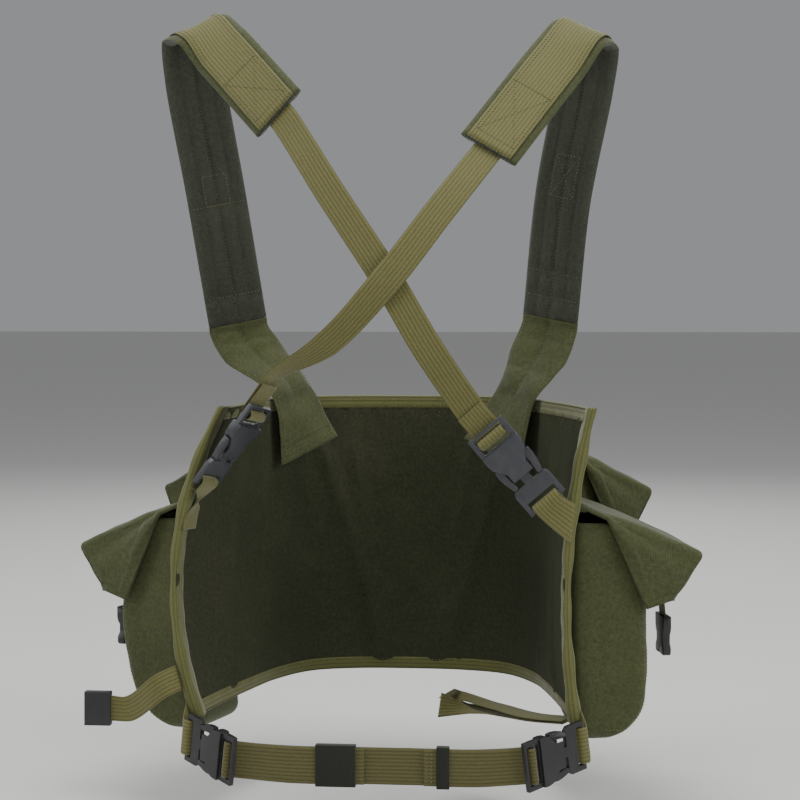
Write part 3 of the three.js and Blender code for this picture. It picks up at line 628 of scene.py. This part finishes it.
TAILS = {
    "left": pad_end("left")
    + [
        ((-60, -122, -174), (0.75, -0.05, 0.65)),
        ((0, -142, -263), (0.84, 0, 0.545)),
        ((40, -144, -330), (0.76, 0.05, 0.654)),
    ]
    + rows_in("shoulder_right", LADDER_TURN),
    "right": pad_end("right")
    + [
        ((50, -130, -196), (0.8, -0.1, -0.6)),
        ((0, -149, -263), (0.76, 0, -0.64)),
        ((-58, -148, -325), (0.6, 0.5, -0.5)),
    ]
    + rows_in("shoulder_left", [(80, -8.4), *LADDER_TURN]),
}
for side, rows in TAILS.items():
    tail = Strap(rows, 30)
    webbing("tail_webbing_" + side, tail, WEBBING, ["back_tail_" + side], steps=260, sway=0.5, seed=12)


# ---------------------------------------------------------------- the chest wall
PANEL_TOP, PANEL_BOTTOM = -388, -688
HALF_PLAN = [(0, 131), (60, 127), (108, 108), (140, 60), (160, 0), (176, -60), (190, -125)]


def plan_line():
    """The panel's U as seen from above: an even cubic through its points, measured out by its own length."""
    points = np.array([(-x, y) for x, y in HALF_PLAN[:0:-1]] + HALF_PLAN, float)
    every = np.vstack([2 * points[0] - points[1], points, 2 * points[-1] - points[-2]])
    t = np.linspace(0, len(points) - 1, 1201)
    first = np.clip(t.astype(int), 0, len(points) - 2)
    w = (t - first)[:, None]
    p0, p1, p2, p3 = (every[first + k] for k in range(4))
    m1, m2 = (p2 - p0) / 2, (p3 - p1) / 2
    line = p1 + m1 * w + (3 * (p2 - p1) - 2 * m1 - m2) * w**2 + (2 * (p1 - p2) + m1 + m2) * w**3
    run = lengths(line)
    return line, run - run[-1] / 2


PLAN, PLAN_RUN = plan_line()
HALF_U = PLAN_RUN[-1]
EDGE = HALF_U - 3


def wall(s, z, off=0.0):
    """The wall's surface at s along the U, height z and off outwards; its sides lean more towards the rear."""
    s, z, off = np.broadcast_arrays(*(np.asarray(k, float) for k in (s, z, off)))
    look = lambda at: np.stack([np.interp(at, PLAN_RUN, PLAN[:, k]) for k in (0, 1)], axis=-1)
    held = np.clip(s, -HALF_U, HALF_U)
    along = unit(look(np.minimum(held + 1.5, HALF_U)) - look(np.maximum(held - 1.5, -HALF_U)))
    place = look(held) + along * (s - held)[..., None]
    place = place + np.stack([-along[..., 1], along[..., 0]], axis=-1) * off[..., None]
    rear = ease((np.abs(s) - 150) / (HALF_U - 150))
    v = np.clip((z + 538) / 150, -1.2, 1.1)
    lean = rear * np.where(s < 0, -22 + 12 * v + 34 * v * v, -16 + 8 * v + 15 * v * v)
    return np.stack([place[..., 0] + lean, place[..., 1], z], axis=-1)


def slack(s, z):
    """How far the panel's slack cloth stands off its true surface, outwards, in millimetres.

    Long soft folds fall from the top corners towards the middle, as a V; upright waves and small
    creases lie between them. All fade out at the sewn edges.
    """
    s, z = np.broadcast_arrays(np.asarray(s, float), np.asarray(z, float))
    held = ease((EDGE - 12 - np.abs(s)) / 45)
    held = held * ease((PANEL_TOP - 12 - z) / 40) * ease((z - 12 - PANEL_BOTTOM) / 35)
    down = (PANEL_TOP - z) / 300
    fold = lambda at, wide: np.exp(-(((s - at) / wide) ** 2))
    vee = fold(-150 + 95 * down, 13) * 1.9 + fold(160 - 90 * down, 13) * 1.9 - fold(-110 + 75 * down, 17) * 1.7
    vee = vee - fold(118 - 80 * down, 17) * 1.7 + fold(-60 + 25 * down, 12) + fold(64 - 30 * down, 12)
    upright = 0.9 * np.sin(s / 17 + 1.3 * np.sin(z / 75)) * ease((z - PANEL_BOTTOM) / 260)
    place = np.stack([s, z * 0.35, np.zeros_like(s)], axis=-1)
    small = np.stack([s, z, np.zeros_like(s)], axis=-1)
    return held * (vee + 0.8 * upright + 1.2 * crumple(place, 42, 41) + 0.6 * crumple(small, 17, 42))


def drape(s, z):
    """How far the inner skin hangs in from the wall: long ridges that start narrow at the top corners, widen as
    they fall and meet as a V low in the middle, upright folds between them, and creases across the ends.
    """
    held = ease((EDGE - 10 - np.abs(s)) / 40)
    held = held * ease((PANEL_TOP - 22 - z) / 60) * ease((z - 6 - PANEL_BOTTOM) / 30)
    down = (PANEL_TOP - z) / 300
    ridge = lambda at, wide: np.exp(-np.abs((s - at) / wide) ** 1.6)
    vee = ridge(-128 + 105 * down**0.8, 9 + 9 * down) + ridge(137 - 100 * down**0.8, 9 + 9 * down)
    vee = vee + 0.6 * ridge(-70 + 40 * down, 8 + 6 * down) + 0.6 * ridge(80 - 55 * down, 8 + 6 * down)
    side = ridge(-235 - 30 * down, 15) + 0.8 * ridge(-300 + 35 * down, 13) + ridge(245 + 25 * down, 14)
    side = side + 0.7 * ridge(305 - 40 * down, 12) + 0.6 * ridge(-188, 10) + 0.6 * ridge(190, 11)
    place = np.stack([s, z * 0.3, np.zeros_like(s)], axis=-1)
    loose = crumple(place, 36, 41) + 0.4 * crumple(np.stack([s, z, 0 * s], axis=-1), 19, 44)
    return held * np.maximum(0, 5.5 * vee + 3.6 * side + 2.2 * loose)


def make_panel():
    """The chest panel: one closed cloth slab, following the wall, its two skins moved together by its slack."""
    s, z = np.meshgrid(np.linspace(-EDGE, EDGE, 361), np.linspace(PANEL_BOTTOM, PANEL_TOP, 151), indexing="ij")
    gather = 0.55 * np.sin(s / 2.6 + 2 * np.sin(s / 31)) * np.exp(-(((PANEL_TOP - 19 - z) / 7) ** 2))
    skins = [wall(s, z, -1.8 + gather - drape(s, z)), wall(s, z, 1.8 + 0.5 * slack(s, z))]
    # The inner skin takes the inside cloth, whose darker colours are painted shade.
    for side, skin, material in ((-1, skins[0], INSIDE_PAINTED_SHADE), (1, skins[1], CLOTH)):
        quads = grid_faces(*s.shape)[:, [0, 3, 2, 1]]
        faces = (quads if side > 0 else quads[:, ::-1]).tolist()
        weave = np.stack([s, z], axis=-1)
        piece = mesh_piece(
            "panel_inside" if side < 0 else "panel_outside", skin, faces, weave, material, "harness",
            ["chest_panel"],
        )
        thicken(piece, "thickness", 1.5)


make_panel()


def folded_tape(name, node, path, inner, skin, turned, sew_at, roll=0.0):
    """A binding tape folded round an edge: a hairpin section, skin either side of the cloth, round at its edge.

    path(k, depth, off) gives points at k along the edge, depth in from the edge and off outwards; the tape
    puckers a little where it is sewn, and its free side lies in a shallow wave.
    """
    steps = 260
    k = np.linspace(0, 1, steps)[:, None]
    depth = np.array([inner, inner * 0.75, inner * 0.5, inner * 0.25, 1.2, 0.2, -0.9, -1.5, -0.9, 0.2, 1.2])
    depth = np.concatenate([depth, np.array([0.25, 0.5, 0.75, 1.0]) * inner])
    off = np.array([skin, skin, skin, skin, skin, skin * 0.95, skin * 0.6, 0, -skin * 0.6, -skin * 0.95, -skin])
    off = np.concatenate([off, -np.array([skin, skin, skin, skin])])
    thin = 0.75
    back = np.linspace(0, 1, len(depth))
    cover = np.concatenate([depth, depth[::-1] + np.where(np.abs(off[::-1]) < skin * 0.99, 0.9, 0)])
    away = np.concatenate([off, off[::-1] * (1 - thin / skin)])
    wavy = 0.3 * (1 + np.sin(k * turned * 2.1)) * (np.abs(cover) / inner)[None, :] ** 2
    plump = roll * (0.55 + 0.45 * np.sin(k * turned * 0.31 + 1) + 0.25 * np.sin(k * turned * 1.3))
    fat = np.exp(-(((cover - 4.0) / 5.0) ** 2))[None, :] * plump
    into = cover[None, :] - 0.35 * plump * (cover < 1.5)[None, :]
    points = path(k, into, away[None, :] + (wavy + fat) * np.sign(away)[None, :])
    run = k * turned * 10
    weave = paired(run, (np.concatenate([back, back[::-1]]) * 25)[None, :])
    closed_piece(name, points, weave, TAPE, "harness", [node])
    along = np.linspace(0, 1, 300)
    for side in (-1, 1):
        for at in sew_at:
            line = path(along, np.full(300, at), np.full(300, side * (skin + 0.1)))
            far = path(along, np.full(300, at), np.full(300, side * (skin + 1.1)))
            seam("harness", line, (far - line))


TAPE_WIDE, SKIN = 12, 3.4
TAPE_END = EDGE - TAPE_WIDE - 0.3


def bind_edges():
    """The panel's four binding tapes, along the top and bottom and up both rear edges."""
    top = lambda k, depth, off: wall(TAPE_END * (2 * k - 1), PANEL_TOP - depth, off)
    bottom = lambda k, depth, off: wall(TAPE_END * (1 - 2 * k), PANEL_BOTTOM + depth, off)
    folded_tape("binding_tape_top", "binding_top", top, TAPE_WIDE, SKIN, 70, (3, 9.5))
    folded_tape("binding_tape_bottom", "binding_bottom", bottom, TAPE_WIDE, SKIN, 70, (9.5,))
    for side, name in ((1, "right"), (-1, "left")):
        rear = lambda k, depth, off, side=side: wall(side * (EDGE - depth), PANEL_BOTTOM - 1.5 + 303 * k, off)
        ends = ("binding_tape_rear_" + name, "binding_rear_" + name)
        folded_tape(*ends, rear, TAPE_WIDE + 3, SKIN, 30, (12.5, 10.5), 3.2)
    line = np.linspace(-TAPE_END, TAPE_END, 400)
    for drop in (17, 21):
        inside = wall(line, np.full(400, PANEL_TOP - drop), -2.6)
        seam("harness", inside, inside - wall(line, np.full(400, PANEL_TOP - drop), 0))


bind_edges()


# ---------------------------------------------------------------- sewn loops, belt and loose ends
def wall_row(s, z, off, direction):
    """A strap row that lies on the wall, its width along a direction of the wall."""
    step = (1, 0) if direction == "onward" else (0, 1)
    place = wall(s, z, off)
    return (place, wall(s + step[0], z + step[1], off) - place)


SEWN = 2 + 0.3 + 1.2 + 1.5 + 0.8
REAR_END = EDGE + 1.5 + 1.2
LOOPS = {
    "shoulder_right": [(*wall_row(REAR_END, -497, 0, "up"), 1.3)],
    "shoulder_left": [
        (wall(13 - EDGE, z, -SEWN), -wall_row(13 - EDGE, z, -SEWN, "onward")[1]) for z in (-508, -490)
    ],
}
for side, name in ((1, "right"), (-1, "left")):
    rows = [wall_row(side * s, -690, SEWN - 0.3, "up") for s in (EDGE - 11, EDGE - 3)]
    LOOPS["waist_" + name] = [(place, width * side, 1) for place, width in rows]
for name, start in LOOPS.items():
    turn = WAIST_TURN if name.startswith("waist") else LOOP_TURN
    strap = Strap(start + rows_in(name, turn), BUCKLES[name][0])
    webbing("loop_webbing_" + name, strap, WEBBING, ["loop_" + name], steps=80)

BELT_Y, BELT_Z, STRAIGHT, LAYER, UP = -178, -720, 88, 2.5, (0, 0, 1)
BELT_ROWS = (
    [((-18, BELT_Y - LAYER, BELT_Z), UP), ((-STRAIGHT, BELT_Y - LAYER, BELT_Z), UP)]
    + rows_in("waist_left", LADDER_TURN[2:12], -1)[::-1]
    + [((x, BELT_Y, BELT_Z), UP) for x in (-STRAIGHT, -30, 30, STRAIGHT)]
    + rows_in("waist_right", LADDER_TURN[2:12])
    + [((STRAIGHT, BELT_Y - LAYER, BELT_Z), UP), ((38, BELT_Y - LAYER, BELT_Z), UP)]
)
webbing("belt_band", Strap(BELT_ROWS, 35), BELT, ["belt_webbing"], steps=420, sway=0.25, seed=21)
for x in (41, 45):
    line = [(x, BELT_Y - LAYER - 0.9, z) for z in np.linspace(BELT_Z - 15, BELT_Z + 15, 20)]
    seam("harness", line, np.tile((0, -1, 0), (20, 1)))

SPARE = Strap(
    [
        (wall(EDGE - 28, PANEL_BOTTOM - 3.2, -3), (0.15, 1, 0)), ((140, -78, -692.5), (0.4, 1, 0)),
        ((92, -22, -694), (0.5, 1, 0)), ((66, -6, -690), (0.6, 1, 0)), ((50, -22, -684), (1, 0.4, 0)),
    ],
    25,
)
webbing("spare_webbing_right", SPARE, WEBBING, ["spare_tail_right"], sway=0.6, seed=5)
SPARE_FOLD = Strap(
    [
        (wall(EDGE - 28, PANEL_BOTTOM - 5.4, -3), (0.15, 1, 0)), ((142, -76, -696), (0.4, 1, 0)),
        ((98, -30, -700), (0.5, 1, 0)), ((72, -22, -699), (0.6, 1, 0.1)), ((44, -40, -692), (0.9, 0.6, 0.1)),
    ],
    25,
)
webbing("spare_webbing_fold", SPARE_FOLD, WEBBING, (), sway=0.6, seed=8)
CLIP = np.array((-289, -119, -684))
upward = wall(3 - EDGE, -640) - wall(3 - EDGE, -664)
SIDE = Strap(
    [(wall(k - EDGE, -652, SEWN - 0.3), upward) for k in (11, 3)]
    + [((-222, -136, -658), UP)]
    + [(CLIP + (x, 0, 0), UP) for x in (32, 16, 0)],
    25,
)
webbing("side_webbing_left", SIDE, WEBBING, ["side_strap_left"])


# ---------------------------------------------------------------- moulded parts
def moulded_copy(name, node, material, body, radius=0.5):
    """A copy of a CAD piece, its flat faces joined and its edges rounded as a mould leaves them."""
    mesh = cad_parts[node].data.copy()
    mesh.materials.clear()
    mesh.materials.append(material)
    work = bmesh.new()
    work.from_mesh(mesh)
    bmesh.ops.remove_doubles(work, verts=work.verts, dist=1e-5)
    bmesh.ops.dissolve_limit(work, angle_limit=0.02, verts=work.verts, edges=work.edges)
    work.to_mesh(mesh)
    work.free()
    places = np.empty(len(mesh.vertices) * 3, np.float32)
    mesh.vertices.foreach_get("co", places)
    piece = finish(name, mesh, places.reshape(-1, 3)[:, [2, 0]], body, [node])
    edge = piece.modifiers.new("mould_radius", "BEVEL")
    edge.width = radius * MM
    edge.segments = 3
    edge.limit_method = "ANGLE"
    edge.angle_limit = np.radians(28)
    edge.harden_normals = True


for name in BUCKLES:
    acetal = BUCKLE if "shoulder" in name else BLACK
    for part in ("socket", "plug"):
        moulded_copy(f"{part}_{name}", f"buckle_{name}_{part}", acetal, "harness")
    for arm in ("latch_a", "latch_b"):
        moulded_copy(f"{arm}_{name}", f"buckle_{name}_{arm}", acetal, f"buckle_{name}_{arm}", 0.4)
moulded_copy("clip_left", "side_clip_left", BLACK, "harness")
for side in ("left", "right"):
    moulded_copy("elastic_band_" + side, "keeper_" + side, ELASTIC, "keeper_" + side, 0.4)


# ---------------------------------------------------------------- pouches and their hoods
def rounded(corners, radius, count):
    """Points along lines through corners, with each inner corner turned by a quadratic curve.

    corners is rows by corners by 3; each stretch between corners gets count points.
    """
    lines = []
    first, last = corners[:, 0], corners[:, -1]
    here = first
    t = np.linspace(0, 1, count, endpoint=False)[None, :, None]
    q = np.linspace(0, 1, 7, endpoint=False)[None, :, None]
    for k in range(1, corners.shape[1] - 1):
        before, corner, after = corners[:, k - 1], corners[:, k], corners[:, k + 1]
        sides = [np.linalg.norm(side - corner, axis=1, keepdims=True) for side in (before, after)]
        reach = [np.minimum(radius, 0.45 * long) for long in sides]
        enter, leave = (corner + unit(side - corner) * r for side, r in zip((before, after), reach))
        lines.append(here[:, None] * (1 - t) + enter[:, None] * t)
        lines.append(enter[:, None] * (1 - q) ** 2 + corner[:, None] * 2 * q * (1 - q) + leave[:, None] * q**2)
        here = leave
    t = np.linspace(0, 1, count)[None, :, None]
    lines.append(here[:, None] * (1 - t) + last[:, None] * t)
    return np.concatenate(lines, axis=1)


def grid_normals(grid):
    """Unit normals of a grid of points, from its neighbours' differences."""
    return unit(np.cross(np.gradient(grid, axis=0), np.gradient(grid, axis=1)))


class PouchPlace:
    """Where a pouch sits: out from the wall, up, and along it, from its middle at the hinge's height."""

    def __init__(self, s0, s1, z):
        a, b = wall(s0, z), wall(s1, z)
        self.along = unit(b - a)
        self.out = np.cross((0, 0, 1), self.along)
        self.origin, self.z, self.span = (a + b) / 2, z, np.linspace(s0 - 12, s1 + 12, 60)

    def world(self, out, up, along):
        """Points of the harness's frame from lengths along the pouch's own three axes."""
        out, up, along = np.broadcast_arrays(*(np.asarray(k, float) for k in (out, up, along)))
        place = out[..., None] * self.out + along[..., None] * self.along + self.origin
        return place + up[..., None] * np.array((0, 0, 1))

    def reach(self, z, off):
        """How far out the wall's skin comes at heights z."""
        z = np.atleast_1d(z)
        skin = wall(self.span[None, :], z[:, None], off) - self.origin
        return (skin @ self.out).max(axis=1)


def make_bag(name, place, top, bottom, wide, off, depth, fullness, lid_slope, seed):
    """A pouch as a lofted open bag: a squared-off ring sunk down its height, rounded in at the bottom.

    The ring is a high-power ellipse between the wall and the front; the front bellies out by a sine over its
    height, the sides pull in between their corners, and loose cloth wrinkles most near the bottom. The rim
    rises towards the wall, as far as the sloping lid lets it.
    """
    ring, rows = 96, 70
    turn = np.linspace(0, 2 * np.pi, ring, endpoint=False)[None, :]
    quarter = np.linspace(0, np.pi / 2, 15)[1:]
    down = np.concatenate([np.linspace(0, 0.93, rows - 14), 0.93 + 0.07 * np.sin(quarter)])[:, None]
    round_in = np.concatenate([np.zeros(rows - 14), 1 - np.cos(quarter)])[:, None] * 13
    z = top - (top - bottom) * down
    flat_z = z
    back = np.convolve(np.pad(place.reach(z[:, 0], off), 3, mode="edge"), np.ones(7) / 7, mode="valid")[:, None]
    deep = depth(down)
    power = 2 / 7
    cos, sin = np.cos(turn), np.sin(turn)
    side = np.sign(cos) * np.abs(cos) ** power
    front = np.sign(sin) * np.abs(sin) ** power
    squeeze = 1 - 0.035 * np.sin(np.pi * down) * (1 - np.abs(front) ** 2)
    along = (wide / 2 - 0.3 - round_in * 0.8) * side * squeeze
    out = back + deep / 2 + (deep / 2 - round_in * 0.9) * front * (1 + 0.03 * np.sin(np.pi * down))
    rim = np.minimum(16.0, np.maximum(0.0, (place.z - top) - 9 - lid_slope * (out - back[0])))
    z = z + rim * (1 - down) ** 2
    points = place.world(out, z - place.z + 0 * turn, along)
    normal = grid_normals(points)
    if np.sum((points - points.mean(axis=(0, 1))) * normal) < 0:
        normal = -normal
    free = ease((front + 0.7) / 0.8) * ease(down / 0.12)
    folds = crumple(points * (1, 1, 0.55), 34, seed) * 2.2 + crumple(points, 15, seed + 1) * 0.8
    slump = 2.2 * np.exp(-(((down - 0.72) / 0.09) ** 2)) * np.sin(turn * 3 + seed) * (front > -0.5)
    points = points + normal * (fullness * free * (folds + slump - 1.2))[..., None]
    run = lengths(points[0])[None, :]
    weave = paired(run, flat_z)
    faces = ring_faces(rows, ring, capped=False) + [list(range((rows - 1) * ring, rows * ring))]
    faces = outward(points, faces)
    bag = mesh_piece("bag_" + name, points, faces, weave, CLOTH, "harness", ["pouch_" + name])
    thicken(bag, "cloth_thickness", 1.8)
    for column in (int(ring * 0.13), int(ring * 0.37)):
        for step in (-3, 3):
            seam("harness", points[3:-8, column + step], normal[3:-8, column + step])
    seam("harness", points[4, : ring // 2], normal[4, : ring // 2])
    seam("harness", points[rows - 12, : ring // 2], normal[rows - 12, : ring // 2])


def make_hood(name, place, hinge, shape, wide, seed):
    """A pouch's hood: a lid from the hinge to its tip, a lip down from it, and a gusset at each end.

    Each row across is gusset, lid, gusset with rounded corners; rows run from the hinge over the tip to the
    lip's edge. The lid swells by a product of sines and the loose cloth creases; a hem band stands a little
    proud along the gussets' free edges and the lip.
    """
    tip, lip, gusset = shape
    rows = 90
    a = np.linspace(0, 1, rows)
    crest = rounded(np.array([[(*p, 0.0) for p in ((0, 0), tip, lip)]]), 5, 40)[0]
    run = lengths(crest)
    top = np.stack([np.interp(a * run[-1], run, crest[:, k]) for k in (0, 1)], axis=1)
    share = np.hypot(*tip) / run[-1]
    edge_points = np.array([(0, -2.4), *gusset, lip], float)
    marks = [0, *((0.3 * share, 0.85 * share + 0.1) if len(gusset) == 2 else (0.1, 0.7 * share, 0.97)), 1]
    free = np.stack([np.interp(a, marks, edge_points[:, k]) for k in (0, 1)], axis=1)
    free = np.minimum(free, top)
    half = wide / 2 - 0.6
    corner = np.stack(
        [
            place.world(hinge + free[:, 0], free[:, 1], -half),
            place.world(hinge + top[:, 0], top[:, 1], -half),
            place.world(hinge + top[:, 0], top[:, 1], half),
            place.world(hinge + free[:, 0], free[:, 1], half),
        ],
        axis=1,
    )
    grid = rounded(corner, 4.5, 26)
    columns = grid.shape[1]
    normal = grid_normals(grid)
    outwards = place.world(hinge + 0.0, 40.0, 0.0) - place.world(hinge, 0.0, 0.0)
    if np.sum(normal[rows // 3, columns // 2] * outwards) < 0:
        normal = -normal
    b = np.linspace(-1, 1, columns)[None, :]
    lid = ease((0.42 - np.abs(b)) / 0.25)
    gusset_swell = 3.0 * np.sin(np.pi * np.clip(a, 0, 1))[:, None] * ease((np.abs(b) - 0.5) / 0.2)
    gusset_swell = gusset_swell * ease((1 - np.abs(b)) / 0.2)
    swell = 4.2 * np.sin(np.pi * np.clip(a / share, 0, 1))[:, None] * lid + gusset_swell
    dents = crumple(grid, 40, seed) * 2.4 + crumple(grid, 17, seed + 1) * 0.9 - 1.4
    loose = ease(a / 0.12)[:, None] * (0.35 + 0.65 * ease((0.98 - np.abs(b)) / 0.3))
    to_edge = np.linalg.norm(grid - np.where(b[..., None] < 0, grid[:, :1], grid[:, -1:]), axis=-1)
    hem = 1.3 * (1 - ease((to_edge - 12) / 1.2)) * (np.abs(b) > 0.45)
    grid = grid + normal * (swell + dents * loose + hem)[..., None]
    weave = paired((a * run[-1])[:, None], b * (half + 30))
    quads = grid_faces(rows, columns)
    p = grid.reshape(-1, 3)
    mid = quads[len(quads) // 2 - columns // 2]
    facing = np.cross(p[mid[1]] - p[mid[0]], p[mid[3]] - p[mid[0]]) @ normal[rows // 2, columns // 2]
    faces = (quads if facing > 0 else quads[:, ::-1]).tolist()
    body = "flap_" + name
    hood = mesh_piece("hood_" + name, grid, faces, weave, CLOTH, body, [body])
    thicken(hood, "cloth_thickness", 2.0)
    ridge = 26 + 4
    for column in (ridge + 4, columns - 1 - ridge - 4):
        seam(body, grid[2:-2, column], normal[2:-2, column])
    tip_row = int(share * rows)
    for row in (tip_row - 3, tip_row + 4, rows - 4):
        seam(body, grid[row, 30:-30], normal[row, 30:-30])
    for sign in (0, -1):
        inward = []
        for row in range(14, rows - 6):
            line = to_edge[row] if sign == 0 else to_edge[row][::-1]
            k = int(np.argmax(line > 9.5))
            if 0 < k < 27:
                inward.append((row, k if sign == 0 else columns - 1 - k))
        if len(inward) > 5:
            inward = np.array(inward)
            seam(body, grid[inward[:, 0], inward[:, 1]], normal[inward[:, 0], inward[:, 1]])


def plate(name, outline, thick, place, material, body, nodes=(), soft=1.2):
    """A moulded plate: an outline carried through its thickness, drawn in by a quarter circle at both faces.

    outline is [along, up] pairs round the plate; place turns (out, up, along) into the harness's frame.
    """
    outline = np.array(outline, float)
    centre = outline.mean(axis=0)
    angle = np.linspace(0, np.pi / 2, 5)
    inset = np.concatenate([soft * (1 - np.sin(angle)), (soft * (1 - np.sin(angle)))[::-1]])
    level = np.concatenate([soft * (1 - np.cos(angle)), thick - (soft * (1 - np.cos(angle)))[::-1]])
    towards = unit(centre - outline)
    flat = outline[None] + towards[None] * inset[:, None, None]
    points = place(level[:, None] + 0 * flat[..., 0], flat[..., 1], flat[..., 0])
    return closed_piece(name, points, flat, material, body, nodes)


def make_closure(name, place, hinge, tip, lip):
    """The hood's closing strap, sewn to its lip, hanging below it, with half a side-release buckle."""
    body = "flap_" + name
    start = np.array(tip) + (np.array(lip) - np.array(tip)) * 0.35
    end = np.array((lip[0] + 1, lip[1] - 62))
    across = place.along
    low = np.array(lip)
    stops = [start + (1.8, 0), start * 0.4 + low * 0.6 + (1.9, 0), low + (1.8, -3), end + (1.6, 34)]
    rows = [(place.world(hinge + out, up, 0), across) for out, up in stops]
    webbing("closing_webbing_" + name, Strap(rows, 25), WEBBING, (), body, steps=50, sway=0.4)
    from_end = lambda out, up, along: place.world(hinge + end[0] - 2.4 + out, end[1] + up, along)
    wide = 17
    outline = [
        (-wide, 39), (wide, 39), (wide, 29), (wide - 1.5, 24), (wide - 5, 20), (wide - 5, 12), (wide - 1, 7),
        (wide - 1, 2), (wide - 3, 0), (4, 0), (3, 2), (-3, 2), (-4, 0), (3 - wide, 0), (1 - wide, 2), (1 - wide, 7),
        (5 - wide, 12), (5 - wide, 20), (1.5 - wide, 24), (-wide, 29),
    ]
    plate("closing_buckle_" + name, outline, 8.4, from_end, BLACK, body, ["closure_" + name])
    ridge = lambda out, up, along: from_end(out + 7.6, up, along)
    plate("closing_buckle_rib_" + name, [(-9, 20), (9, 20), (9, 4), (-9, 4)], 1.2, ridge, BLACK, body, soft=0.5)


HOOD = ((129, -53), (99, -97), ((33, -17), (72, -106)))
CORNER_HOOD = ((112, -50), (90, -92), ((28, -15), (66, -98)))
FRONT_LID = ((50, -5), (50, -84), ((6, -34), (46, -40), (47.6, -84)))
side_depth = lambda v: 66 + 12 * np.sin(np.pi * v) - 24 * np.maximum(0, (v - 0.8) / 0.2) ** 2
corner_depth = lambda v: 56 + 8 * np.sin(np.pi * v) - 16 * np.maximum(0, (v - 0.8) / 0.2) ** 2
POUCHES = {
    "side_right": (EDGE - 131, EDGE - 17, -478, -516, -712, 100, HOOD, 4.1, side_depth, 1.0),
    "side_left": (17 - EDGE, 131 - EDGE, -478, -516, -712, 100, HOOD, 4.1, side_depth, 1.0),
    "corner_right": (134, 222, -432, -466, -676, 74, CORNER_HOOD, 2.6, corner_depth, 0.9),
    "corner_left": (-222, -134, -432, -466, -676, 74, CORNER_HOOD, 2.6, corner_depth, 0.9),
    "front_middle": (-34, 34, -404, -414, -672, 66, FRONT_LID, 2.6, lambda v: 40 + 0 * v, 0.6),
    "front_right": (42, 106, -404, -414, -672, 60, FRONT_LID, 2.6, lambda v: 38 + 0 * v, 0.6),
    "front_left": (-106, -42, -404, -414, -672, 60, FRONT_LID, 2.6, lambda v: 38 + 0 * v, 0.6),
}
for count, (name, (s0, s1, hinge_z, top, bottom, wide, hood, off, depth, fullness)) in enumerate(POUCHES.items()):
    place = PouchPlace(min(s0, s1), max(s0, s1), hinge_z)
    hinge = place.reach(np.array([hinge_z, hinge_z - 4]), 2.3).max()
    slope = -hood[0][1] / hood[0][0]
    make_bag(name, place, top, bottom, wide, off, depth, fullness, slope, 50 + 3 * count)
    make_hood(name, place, hinge, hood, wide + 6.4, 80 + 3 * count)
    make_closure(name, place, hinge, hood[0], hood[1])

sew_all()


# ---------------------------------------------------------------- floor, light and finish
def make_stage():
    """A plain pale floor, a soft even sky, and three large soft lamps."""
    bpy.ops.mesh.primitive_plane_add(size=80, location=(0, 0, -0.80))
    floor = bpy.context.object
    floor.name = "floor"
    material, _, shader = start_material("matt_painted_floor", 0.9)
    shader.inputs["Base Color"].default_value = linear("d9d9d6")
    floor.data.materials.append(material)
    world = bpy.data.worlds.new("studio")
    world.use_nodes = True
    world.node_tree.nodes["Background"].inputs["Color"].default_value = (0.82, 0.83, 0.85, 1)
    world.node_tree.nodes["Background"].inputs["Strength"].default_value = 0.35
    bpy.context.scene.world = world
    for name, place, aim, size, power in (
        ("overhead", (0.0, -0.5, 2.2), (0, -0.05, -0.4), 1.5, 62),
        ("left_side", (-2.4, -0.9, 0.5), (0, 0, -0.4), 1.2, 26),
        ("right_side", (2.4, -1.1, 0.7), (0, 0, -0.4), 1.2, 34),
        ("front_fill", (0.3, -3.0, 0.3), (0, 0, -0.4), 2.0, 10),
        ("behind", (0.0, 2.6, 1.4), (0, 0, -0.3), 1.6, 30),
    ):
        data = bpy.data.lights.new(name, "AREA")
        data.size, data.energy = size, power
        lamp = bpy.data.objects.new(name, data)
        lamp.location = place
        direction = np.array(aim) - np.array(place)
        lamp.rotation_euler = Vector(direction).to_track_quat("-Z", "Y").to_euler()
        bpy.context.collection.objects.link(lamp)


make_stage()
